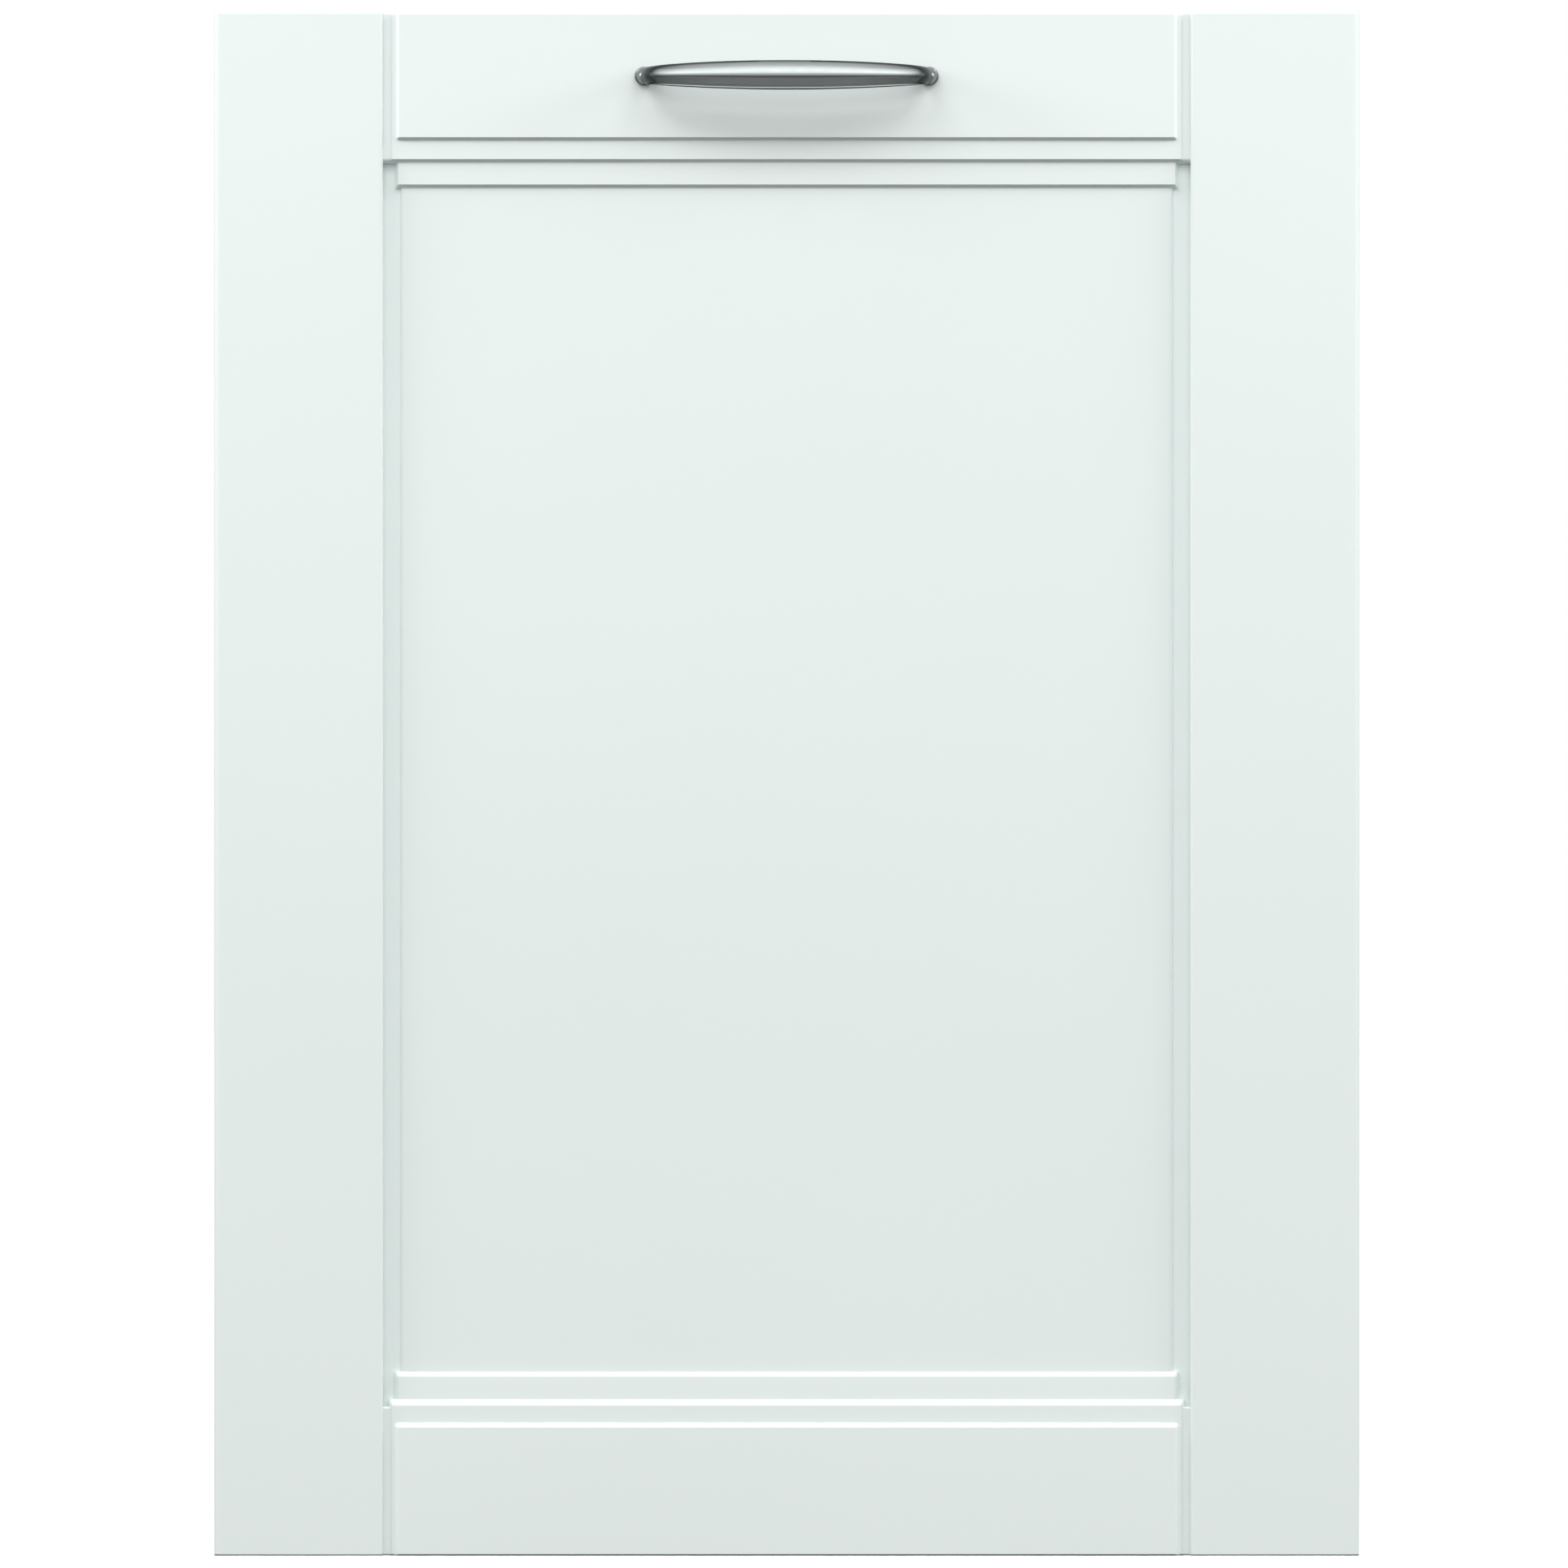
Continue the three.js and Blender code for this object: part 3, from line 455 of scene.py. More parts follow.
class Slab:
    """A raised rectangle of a relief, in the board's own X and Z.

    Each side's arris is rounded over its width and goes down by depth, or runs down evenly if it is sloped.
    """

    def __init__(self, x, z, level, arris, depth, sloped=False):
        self.x, self.z, self.level, self.arris, self.depth = x, z, level, arris, depth
        self.sloped = sloped

    def drop(self, x, z):
        """How far the surface is below the slab's face at a point inside it."""
        left, right, bottom, top = self.arris
        across = max(edge_turn(x - self.x[0], left), edge_turn(self.x[1] - x, right))
        along = max(edge_turn(z - self.z[0], bottom), edge_turn(self.z[1] - z, top))
        turn = min(1.0, math.hypot(across, along))
        if self.sloped:
            return self.depth * turn ** STEEPER
        return self.depth * (1 - math.sqrt(1 - turn * turn))

    def height(self, x, z):
        if not (self.x[0] <= x <= self.x[1] and self.z[0] <= z <= self.z[1]):
            return -math.inf
        return self.level - self.drop(x, z)

    @staticmethod
    def lines(ends, widths):
        """Grid lines that a slab's two ends need along one direction."""
        places = []
        for end, width, inward in zip(ends, widths, (1, -1)):
            places += [end - inward * WALL, end]
            places += [end + inward * width * (1 - math.cos(math.radians(a))) for a in ARRIS_ANGLES if width]
        return places


def edge_turn(distance, width):
    """0 inside the flat, rising to 1 at the edge."""
    return max(0.0, 1 - distance / width) if width > 0 else 0.0


def relief_grid(slabs, x_range, z_range, extra_x=(), extra_z=()):
    """The places of the grid lines, and the height of the highest slab at each crossing."""
    def places(sides, ends, extra):
        found = set(extra) | set(ends)
        for span, widths in sides:
            found.update(Slab.lines(span, widths))
        kept = []
        for place in sorted(p for p in found if ends[0] - TINY <= p <= ends[1] + TINY):
            if not kept or place - kept[-1] > SAME_PLACE:
                kept.append(place)
        return kept
    xs = places([(slab.x, slab.arris[:2]) for slab in slabs], x_range, extra_x)
    zs = places([(slab.z, slab.arris[2:]) for slab in slabs], z_range, extra_z)
    heights = [[max(slab.height(x, z) for slab in slabs) for z in zs] for x in xs]
    return xs, zs, heights


# ---------- furniture front
OUTER_ARRIS = 3 * MM  # round the board's sides and top
LOWEST_ARRIS = 1 * MM  # along its bottom edge
STILE = 88.1 * MM
STILE_ARRIS = 1.8 * MM  # towards the middle of the board
STILE_DROP = 2.6 * MM
GROOVE = 8 * MM  # how far the grooves' floor is behind the stiles
GROOVE_END = 3 * MM  # the same beside the rails, where the grooves are shallower
FIELD_INSET = 97.3 * MM  # from the board's side to the field
FIELD_LEVEL = 6 * MM
FIELD_ARRIS = 2 * MM
# Each band of the relief, in millimetres: its inset from the board's side, how far it reaches down from the
# top and up from the bottom, how far it is behind the stiles, and its side arris.
BANDS = ((94.5, 93.9, 96.1, 4.0, 1.6), (91.3, 80.7, 81.7, 2.0, 1.8), (94.1, 69.3, 69.6, 0.0, 2.4))
UPPER_EDGE = (2.2 * MM, 3.4 * MM)  # an upper band's lower edge: its height and its drop
LOWER_EDGE = (2.8 * MM, 2 * MM)  # a lower band's upper edge


def front_slabs(x0, x1, z0, z1):
    """The relief from back to front: grooves and their shallow ends, field, bands, and the two stiles."""
    def across(z, level, low, high, drop):
        return Slab((x0, x1), z, -level, (OUTER_ARRIS, OUTER_ARRIS, low, high), drop)

    def centred(inset, z, level, side, low, high, drop, sloped=True):
        return Slab((inset - x1, x1 - inset), z, -level, (side, side, low, high), drop, sloped)

    slabs = [across((z0, z1), GROOVE, LOWEST_ARRIS, OUTER_ARRIS, OUTER_ARRIS),
             across((z0, z0 + 78 * MM), GROOVE_END, LOWEST_ARRIS, 1 * MM, 5 * MM),
             across((z1 - 81 * MM, z1), GROOVE_END, 3 * MM, OUTER_ARRIS, 5 * MM),
             centred(FIELD_INSET, (z0, z1), FIELD_LEVEL, FIELD_ARRIS, LOWEST_ARRIS, OUTER_ARRIS, 2 * MM,
                     sloped=False)]
    for band in BANDS:
        inset, from_top, from_bottom, level, arris = (value * MM for value in band)
        low, drop = UPPER_EDGE
        slabs.append(centred(inset, (z1 - from_top, z1), level, arris, low, OUTER_ARRIS, drop))
        high, drop = LOWER_EDGE
        slabs.append(centred(inset, (z0, z0 + from_bottom), level, arris, LOWEST_ARRIS, high, drop))
    for x, arris in (((x0, x0 + STILE), (OUTER_ARRIS, STILE_ARRIS)),
                     ((x1 - STILE, x1), (STILE_ARRIS, OUTER_ARRIS))):
        slabs.append(Slab(x, (z0, z1), 0.0, (*arris, LOWEST_ARRIS, OUTER_ARRIS), STILE_DROP))
    return slabs


def furniture_front():
    """The stepped board: one grid for its face, then round its rim to a flat back."""
    x0, x1, front, back, z0, z1 = bounds_of("furniture_panel")
    xs, zs, heights = relief_grid(front_slabs(x0, x1, z0, z1), (x0, x1), (z0, z1))
    form = Form()
    form.points = [Vector((x, front - heights[i][j], z)) for i, x in enumerate(xs) for j, z in enumerate(zs)]
    rows = len(zs)
    for i in range(len(xs) - 1):
        for j in range(rows - 1):
            a = i * rows + j
            form.faces.append((a, a + rows, a + rows + 1, a + 1))
    rim = [i * rows for i in range(len(xs))]
    rim += [(len(xs) - 1) * rows + j for j in range(1, rows)]
    rim += [i * rows + rows - 1 for i in reversed(range(len(xs) - 1))]
    rim += [j for j in reversed(range(1, rows - 1))]
    first = len(form.points)
    soft = 1.0 * MM
    for inset, y in ((0.0, back - soft), (soft, back)):
        for index in rim:
            point = form.points[index]
            x = min(max(point.x, x0 + inset), x1 - inset)
            z = min(max(point.z, z0 + inset), z1 - inset)
            form.points.append(Vector((x, y, z)))
    count = len(rim)
    for k in range(count):
        after = (k + 1) % count
        form.faces.append((rim[k], rim[after], first + after, first + k))
        form.faces.append((first + k, first + after, first + count + after, first + count + k))
    form.faces.append(tuple(first + count + k for k in range(count)))
    return form.make("furniture_front", "door", "panel_lacquer", replaces=["furniture_panel"], weighted=True)


# ---------- handle
# The bar's section at its tallest place: forward and up from the middle of the bar, in millimetres.
BAR_SECTION = (
    (-3.2, 6.3), (-2.6, 7.2), (-1.4, 7.7), (-0.3, 7.5), (0.7, 6.7), (1.6, 5.4), (2.3, 3.9), (2.9, 2.3),
    (3.35, 0.8), (3.5, -0.4), (3.4, -1.1), (2.7, -2.4), (2.0, -4.0), (1.2, -5.7), (-0.5, -5.8), (-0.5, -6.3),
    (0.3, -6.5), (0.4, -7.1), (-0.4, -7.7), (-1.8, -7.8), (-3.2, -6.6), (-3.5, 0.0),
)
BAR_HALF = 7.75  # half the bar's height at that place
BAR_END = 4.9  # the same at its two ends
POST = (3.1, 4.6)  # half the foot's width and height
SQUARE = 0.54  # 1 would bend the bar as an ellipse, 0 as a rectangle


def bow_handle():
    """A squared arch that rises from two round feet, with a crowned front, a crease and a lip below."""
    x0, x1, front, base, z0, z1 = bounds_of("bow_handle")
    middle = Vector(((x0 + x1) / 2, base, (z0 + z1) / 2))
    foot = 4.75 * MM
    inward = 1.6 * MM
    half = (x1 - x0) / 2 - foot - inward
    rise = base - front - 3.6 * MM
    stations = 96
    step = 1e-3
    round_angles = [math.atan2(up, forward) for forward, up in BAR_SECTION]
    rings = []
    for i in range(stations + 1):
        angle = math.pi * i / stations
        swing = abs(math.cos(angle)) ** SQUARE
        x = half * math.copysign(swing, math.cos(angle))
        out = rise * math.sin(angle) ** SQUARE
        ahead = min(math.pi, angle + step)
        behind = max(0.0, angle - step)
        tangent = Vector((half * (signed_power(math.cos(ahead)) - signed_power(math.cos(behind))),
                          -rise * (math.sin(ahead) ** SQUARE - math.sin(behind) ** SQUARE), 0)).normalized()
        outward = Vector((tangent.y, -tangent.x, 0)) * (-1 if tangent.x < 0 else 1)
        if abs(tangent.x) < 1e-4:
            outward = Vector((math.copysign(1, x), 0, 0))
        across = smooth(out / rise, 0.25, 0.8)
        tall = BAR_END + (BAR_HALF - BAR_END) * (1 - min(1, abs(x) / half) ** 2)
        ring = []
        for (forward, up), turn in zip(BAR_SECTION, round_angles):
            bar = Vector((forward * (0.82 + 0.18 * tall / BAR_HALF), up * tall / BAR_HALF))
            post = Vector((POST[0] * math.cos(turn), POST[1] * math.sin(turn)))
            mixed = post.lerp(bar, across) * MM
            ring.append(middle + Vector((x, -out, 0)) + outward * mixed.x + Vector((0, 0, mixed.y)))
        rings.append(ring)
    form = Form().rings(rings)
    for side in SIDES.values():
        at = middle + Vector((side * (half + inward), 0, 0))
        form.turned(scaled(((0, 0), (4.75, 0), (4.75, 1.9), (4.5, 2.4), (4, 2.7), (0, 2.7))), at, "-y", 64)
    return form.make("bow_handle_cast", "door", "handle_steel", replaces=["bow_handle"], crease=28)


def signed_power(value):
    return math.copysign(abs(value) ** SQUARE, value)


def smooth(value, start, end):
    t = min(1.0, max(0.0, (value - start) / (end - start)))
    return t * t * (3 - 2 * t)


# ---------- replacing CAD nodes
NODE_SLOT = {entry["node"]: entry["material_slot"] for entry in frame["record"]["subparts"]}
NODE_BODY = {node: body for body, nodes in frame["record"]["behaviour"]["bodies"].items() for node in nodes}


def stand_for(form, node, name, **settings):
    """Makes the form into a piece that takes the place, body and slot of one CAD node."""
    return form.make(name, NODE_BODY[node], NODE_SLOT[node], replaces=[node], **settings)


def carve(piece, cutters):
    """Cuts closed forms out of a piece."""
    for cutter in cutters:
        tool = cutter.plain("cutter")
        made = piece.modifiers.new("cut", "BOOLEAN")
        made.operation = "DIFFERENCE"
        made.solver = "EXACT"
        made.object = tool
        bpy.context.view_layer.update()
        result = bpy.data.meshes.new_from_object(piece.evaluated_get(bpy.context.evaluated_depsgraph_get()))
        piece.modifiers.remove(made)
        piece.data = result
        bpy.data.objects.remove(tool)


# ---------- racks
class Basket:
    """A basket of round wires: bent wires along and across, with rounded loops round the walls."""
    LEAN = 4 * MM  # how far a wall's wires lean in at the bottom
    BEND = 14 * MM

    def __init__(self, node, wire, rail, floor_from=None):
        x0, x1, y0, y1, z0, z1 = bounds_of(node)
        half = min(-x0, x1, RACK_HALF)
        self.x = (-half + rail, half - rail)
        self.y = (y0 + rail, y1 - rail)
        self.z = ((floor_from or z0) + wire, z1 - rail)
        self.wire = wire
        self.form = Form()
        self.loop(self.z[1], rail)

    def loop(self, z, radius):
        outline = rounded_rectangle(*self.x, *self.y, 22 * MM, 5)
        self.form.tube([(x, y, z) for x, y in outline], radius, 10, closed=True)

    def along(self, places):
        """Wires from front to back, turned up at both ends to the rim."""
        low, high = self.z
        for x in places:
            path = bent([(x, self.y[0], high), (x, self.y[0] + self.LEAN, low),
                         (x, self.y[1] - self.LEAN, low), (x, self.y[1], high)], self.BEND)
            self.form.tube(path, self.wire, 8, up=(1, 0, 0))

    def across(self, places):
        """Wires from side to side, laid on the ones along."""
        low, high = self.z
        low += 2 * self.wire
        for y in places:
            path = bent([(self.x[0], y, high), (self.x[0] + self.LEAN, y, low),
                         (self.x[1] - self.LEAN, y, low), (self.x[1], y, high)], self.BEND)
            self.form.tube(path, self.wire, 8, up=(0, 1, 0))


def spread(first, last, count):
    return [first + (last - first) * i / (count - 1) for i in range(count)]


def lower_rack():
    """The lower basket with a leg and a stub axle for each wheel, and the seats of the tine row."""
    basket = Basket("lower_rack", 1.7 * MM, 2.4 * MM, floor_from=0.205)
    basket.loop(0.252, 1.9 * MM)
    basket.along(spread(-0.216, 0.216, 19))
    basket.across(spread(-0.142, 0.206, 11))
    form = basket.form
    for side in SIDES.values():
        for y in (-0.060, 0.170):
            outer = RACK_HALF * side
            inner = 0.2405 * side
            form.box((min(outer, inner), y - 0.0075, 0.174), (max(outer, inner), y + 0.0075, 0.224), 0.001, 2)
            axle = scaled(((0, 0), (3.5, 0), (3.5, 11.8), (2.8, 12.6), (0, 12.6)))
            form.turned([(r, h * side) for r, h in axle], (0.2445 * side, y, 0.1813), "x", 20)
    _, _, y0, y1, _, _ = bounds_of("folding_tines")
    for y in (y0 + 5.5 * MM, y1 - 5.5 * MM):
        form.box((-0.211, y - 0.0035, 0.2055), (-0.197, y + 0.0035, 0.2200), 0.0015, 3)
    stand_for(form, "lower_rack", "lower_rack_wires", crease=40)


def folding_tines():
    """A shaft along the rack with a row of upright tines, each tipped."""
    x0, x1, y0, y1, z0, z1 = bounds_of("folding_tines")
    x = (x0 + x1) / 2
    z = z0 + 3 * MM
    form = Form().tube([(x, y0, z), (x, y1, z)], 2.7 * MM, 16)
    start, end = y0 + 9 * MM, y1 - 9 * MM
    count = 7
    pitch = (end - start) / count
    for i in range(count):
        y = start + (i + 0.5) * pitch
        tip = (x + 1.0 * MM, y, z1 - 0.6 * MM)
        form.tube(bent([(x, y, z), (x, y, z1 - 12 * MM), tip], 10 * MM), 1.9 * MM, 12, up=(0, 1, 0))
        form.turned(scaled(((0, 0), (1.9, 0), (1.5, 0.5), (0, 0.6))), tip, "z", 12)
    stand_for(form, "folding_tines", "tine_row", crease=40)


def upper_rack():
    """The upper basket, with the plate and the socket that carry the upper arm."""
    basket = Basket("upper_rack", 1.6 * MM, 2.4 * MM, floor_from=0.520)
    basket.loop(0.563, 1.8 * MM)
    basket.loop(0.600, 1.8 * MM)
    basket.along(spread(-0.214, 0.214, 19))
    basket.across(spread(-0.146, 0.210, 12))
    form = basket.form
    form.box((-0.044, -0.012, 0.5200), (0.044, 0.076, 0.5228), 0.012, 6)
    form.turned(scaled(((0, 0), (9, 0), (9, 3), (11.6, 5), (15, 8.4), (0, 8.4))), (0, ARM_Y, 0.5125), "z", 40)
    stand_for(form, "upper_rack", "upper_rack_wires", crease=40)


def cutlery_tray():
    """A shallow basket whose four waved wires part the cutlery."""
    basket = Basket("cutlery_tray", 1.3 * MM, 2.0 * MM)
    basket.along(spread(-0.220, 0.220, 29))
    basket.across(spread(-0.150, 0.214, 9))
    form = basket.form
    low = basket.z[0] + 2.6 * MM
    valley, peak = 1 * MM, 14 * MM
    for x in (-0.150, -0.050, 0.050, 0.150):
        waves = [(x, y, low + (peak if i % 2 else valley)) for i, y in enumerate(spread(-0.160, 0.224, 49))]
        form.tube(bent(waves, 2 * MM, 2), 1.3 * MM, 6, up=(1, 0, 0))
    stand_for(form, "cutlery_tray", "cutlery_tray_wires", crease=40)


def rack_wheels():
    """Rollers with a dished face and six spokes."""
    for end in ("front", "rear"):
        for name, side in SIDES.items():
            node = f"rack_wheel_{end}_{name}"
            x0, x1, y0, y1, z0, z1 = bounds_of(node)
            r, w = (z1 - z0) / 2 / MM, (x1 - x0) / MM
            outline = scaled(((4.1, 0), (r - 1.2, 0), (r, 1.2), (r, w - 1.2), (r - 1.2, w), (r - 3.4, w),
                              (r - 4, w - 2.4), (7.2, w - 2.4), (6.6, w), (4.1, w)))
            centre = Vector((x0 if side > 0 else x1, (y0 + y1) / 2, (z0 + z1) / 2))
            form = Form().turned([(radius, h * side) for radius, h in outline], centre, "x", 48)
            dish = Vector((side * (w - 1.6) * MM, 0, 0))
            for spoke in (Vector((0, c, s)) for c, s in circle(6)):
                ends = [centre + spoke * reach * MM + dish for reach in (6.8, r - 3.6)]
                form.tube(ends, 1.1 * MM, 6)
            stand_for(form, node, f"roller_{end}_{name}", crease=35)


# ---------- tub and door
TUB_HALF = 0.262  # the tub's inside
TUB_LOW, TUB_HIGH = 0.164, 0.850
TUB_CORNER = 0.026
# From the back, along the inside, round the flange in front and along the outside to the back again: how far
# out from the inside's outline, and Y, in millimetres.
TUB_WALL = ((-20, 262), (-9, 260.4), (-3, 256.5), (0, 249), (0, 60), (0, -176), (0.6, -182), (2.4, -186),
            (4.5, -187), (12.6, -187), (13.8, -186), (14, -182.5), (12.6, -182.5), (12.2, -184.8),
            (6, -184.8), (3.6, -184.2), (2, -181), (2, 60), (2, 251), (-1.2, 259), (-8, 263), (-20, 264))


def tub():
    """A deep-drawn box with round corners, a rounded back and a flange in front, and holes in its floor."""
    rings = []
    for offset, y in scaled(TUB_WALL):
        half = TUB_HALF + offset
        outline = rounded_rectangle(-half, half, TUB_LOW - offset, TUB_HIGH + offset,
                                    max(4 * MM, TUB_CORNER + offset), 8)
        rings.append([(x, y, z) for x, z in outline])
    piece = stand_for(Form().rings(rings), "tub", "tub_shell", crease=50)
    holes = ((101 * MM, (0, -0.062, 0.150), 96), (34 * MM, (-0.170, -0.040, 0.150), 64))
    carve(piece, [Form().turned(((0, 0), (radius, 0), (radius, 0.03), (0, 0.03)), at, "z", segments)
                  for radius, at, segments in holes])
    piece.data.set_sharp_from_angle(angle=math.radians(50))


def sound_pads():
    """Damping sheets, laid on the right side and the back of the tub."""
    _, _, y0, y1, z0, z1 = bounds_of("tub")
    wall = 264.2 * MM
    corner = 18 * MM
    side = rounded_rectangle(y0 + 60 * MM, y1 - 42 * MM, z0 + 48 * MM, z1 - 60 * MM, corner)
    back = rounded_rectangle(-0.214, 0.214, z0 + 48 * MM, z1 - 60 * MM, corner)
    for name, outline, place in (("side", side, lambda u, v, out: (wall + out, u, v)),
                                 ("back", back, lambda u, v, out: (-u, wall + out, v))):
        middle = (outline[0][0] + outline[-1][0]) / 2, (z0 + z1) / 2
        rings = []
        for out, inset in scaled(((0, 0), (1.44, 0), (2.4, 1.2), (2.4, 5), (1.68, 7))):
            rings.append([place(u + math.copysign(inset, middle[0] - u),
                                v + math.copysign(inset, middle[1] - v), out) for u, v in outline])
        Form().rings(rings).make(f"sound_pad_{name}", "machine", "black_plastic", material=BITUMEN, crease=40)


def tub_gasket():
    """A flat-lipped seal round the opening."""
    x0, x1, y0, y1, z0, z1 = bounds_of("tub_gasket")
    y = (y0 + y1) / 2
    inset = 4.3 * MM
    outline = rounded_rectangle(x0 + inset, x1 - inset, z0 + inset, z1 - inset, 0.011, 8)
    form = Form().tube([(x, y, z) for x, z in outline], 4.2 * MM, 14, closed=True, flat=0.26, up=(0, 1, 0))
    stand_for(form, "tub_gasket", "door_seal", crease=60)


def sheet(xs, zs, heights, face, thickness, kept):
    """A closed sheet over a grid where kept(x, z) holds, with its face at the heights."""
    form = Form()
    rows = len(zs)
    for behind in (0.0, thickness):
        for i, x in enumerate(xs):
            for j, z in enumerate(zs):
                form.points.append(Vector((x, face - (heights[i][j] - behind), z)))
    layer = len(xs) * rows
    edges = {}  # those of one quad only, which bound the sheet
    for i in range(len(xs) - 1):
        for j in range(rows - 1):
            if not kept((xs[i] + xs[i + 1]) / 2, (zs[j] + zs[j + 1]) / 2):
                continue
            a = i * rows + j
            quad = (a, a + rows, a + rows + 1, a + 1)
            form.faces.append(quad)
            form.faces.append(tuple(layer + k for k in reversed(quad)))
            for edge in zip(quad, quad[1:] + quad[:1]):
                if edges.pop(edge[::-1], None) is None:
                    edges[edge] = True
    for first, second in edges:
        form.faces.append((second, first, layer + first, layer + second))
    return form


def door_liner():
    """The door's steel inner face: a pressed field with a raised margin, open where the dispenser sits."""
    x0, x1, y0, y1, z0, z1 = bounds_of("door_inner_liner")
    dx0, dx1, _, _, dz0, dz1 = bounds_of("dispenser_housing")
    gap = 0.3 * MM
    hole = (dx0 - gap, dx1 + gap, dz0 - gap, dz1 + gap)
    rim = 16 * MM  # round the dispenser
    soft = 5 * MM
    hard = 1 * MM
    deep = 3.5 * MM
    low = z0 + 36.5 * MM
    margin = 34 * MM
    slabs = [
        Slab((x0, x1), (low, z1), -deep, (hard,) * 4, 0.8 * MM),
        Slab((x0, x0 + margin), (low, z1), 0.0, (hard, soft, hard, hard), deep),
        Slab((x1 - margin, x1), (low, z1), 0.0, (soft, hard, hard, hard), deep),
        Slab((x0, x1), (z1 - 30 * MM, z1), 0.0, (hard, hard, soft, hard), deep),
        Slab((x0, x1), (low, low + 40 * MM), 0.0, (hard, hard, hard, soft), deep),
        Slab((hole[0] - rim, hole[1] + rim), (hole[2] - rim, hole[3] + rim), 0.0, (soft,) * 4, deep),
    ]
    xs, zs, heights = relief_grid(slabs, (x0, x1), (low, z1), extra_x=hole[:2], extra_z=hole[2:])
    form = sheet(xs, zs, heights, y1, -1.0 * MM,
                 lambda x, z: not (hole[0] < x < hole[1] and hole[2] < z < hole[3]))
    form.box((-0.275, y1 - 1.2 * MM, z0), (0.275, y1, low + 1 * MM))
    for side in SIDES.values():
        a, b = sorted((side * x1, side * (x1 - 1.2 * MM)))
        form.box((a, y0, low), (b, y1 - 1.0 * MM, z1))
    stand_for(form, "door_inner_liner", "door_liner", crease=40, weighted=True)


# ---------- spray arms, caps, buttons, feet
def spray_arm(node, name):
    """A hollow blade, thicker along its middle, with a round hub and a row of raised nozzles on each wing."""
    x0, x1, _, _, z0, z1 = bounds_of(node)
    top = z0 + 11 * MM
    middle = (z0 + top) / 2
    rings = []
    for x in spread(x0, x1, 49):
        u = abs(x) / x1
        end = math.sqrt(max(0.0, 1 - max(0.0, (u - 0.94) / 0.06) ** 2))
        half = ((12.6 + 8.5 * (1 - u) ** 1.2) * end + 0.6) * MM
        tall = (5.3 * (0.55 + 0.45 * end)) * MM
        rings.append([(x, ARM_Y + half * math.copysign(abs(c) ** 0.7, c),
                       middle + tall * math.copysign(abs(s) ** 0.75, s)) for c, s in circle(20, 0.5)])
    form = Form().rings(rings)
    flat, tip = (top - z0) / MM, (z1 - z0) / MM
    hub = scaled(((0, 0), (21, 0), (23, 2), (23, flat - 2.5), (20, flat), (15, tip - 0.6), (13.5, tip),
                  (0, tip)))
    form.turned(hub, (0, ARM_Y, z0), "z", 56)
    nozzle = scaled(((2.0, -1.2), (3.4, -1.2), (3.1, 0.5), (2.3, 0.5)))
    for side in SIDES.values():
        for i, x in enumerate((0.052, 0.086, 0.118, 0.146, 0.170)):
            shift = (5 if i % 2 else -5) * MM * side
            form.turned(nozzle, (side * x, ARM_Y + shift, middle + 4.6 * MM), "z", 20)
    stand_for(form, node, name, crease=40)


def buttons():
    """Round keys with a rim, a dished top and a collar that keeps them behind the fascia."""
    for name in ("power_button", "programme_button", "option_button", "start_button"):
        x0, x1, y0, y1, z0, z1 = bounds_of(name)
        top = (z1 - z0) / MM
        profile = scaled(((0, 0), (9, 0), (9, 2.9), (7, 3), (7, top - 1.1), (6.7, top - 0.4), (6.1, top),
                          (4.8, top - 0.1), (2.5, top - 0.45), (0, top - 0.5)))
        form = Form().turned(profile, ((x0 + x1) / 2, (y0 + y1) / 2, z0), "z", 56)
        stand_for(form, name, name.replace("button", "key"), crease=50)


def knurl(form, centre, radius, count, start, end, width, axis):
    """Ridges round a cap, along its axis from start to end."""
    for u, v in ((radius * c, radius * s) for c, s in circle(count)):
        line = [(u, h, v) if axis == "y" else (u, v, h) for h in (start, end)]
        form.tube([Vector(centre) + Vector(point) for point in line], width, 6)


def rinse_cap():
    """A knurled cap with a grip across its face."""
    x0, x1, y0, y1, z0, z1 = bounds_of("rinse_aid_cap")
    face = y1 - 2.7 * MM
    deep = face - y0
    r = (x1 - x0) / 2
    x, z = (x0 + x1) / 2, (z0 + z1) / 2
    dish = deep - 0.4 * MM
    profile = ((0, 0), (r, 0), (r, deep - 1 * MM), (r - 1 * MM, deep), (r - 2 * MM, dish), (0, dish))
    form = Form().turned(profile, (x, y0, z), "y", 64)
    knurl(form, (x, y0, z), r - 0.3 * MM, 36, 1 * MM, deep - 1.4 * MM, 0.45 * MM, "y")
    form.box((x - 2.4 * MM, face - 1 * MM, z - 10 * MM), (x + 2.4 * MM, y1, z + 10 * MM), 0.8 * MM, 3)
    stand_for(form, "rinse_aid_cap", "rinse_cap_turned", crease=35)


def salt_cap():
    """A wide knurled cap with a flange and a grip."""
    x0, x1, y0, y1, z0, z1 = bounds_of("salt_cap")
    x, y = (x0 + x1) / 2, (y0 + y1) / 2
    r = (x1 - x0) / 2
    rim = r / MM
    profile = scaled(((0, 0), (26, 0), (26, 13.4), (rim - 0.8, 13.4), (rim, 14.2), (rim, 16.6),
                      (rim - 1.4, 18), (rim - 4, 18.2), (rim - 5, 17.2), (8, 17.4), (0, 17.6)))
    form = Form().turned(profile, (x, y, z0), "z", 72)
    knurl(form, (x, y, z0), r - 0.35 * MM, 48, 14.4 * MM, 16.8 * MM, 0.5 * MM, "z")
    form.box((x - 20 * MM, y - 2.4 * MM, z0 + 15 * MM), (x + 20 * MM, y + 2.4 * MM, z1), 1.8 * MM, 4)
    stand_for(form, "salt_cap", "salt_cap_turned", crease=35)


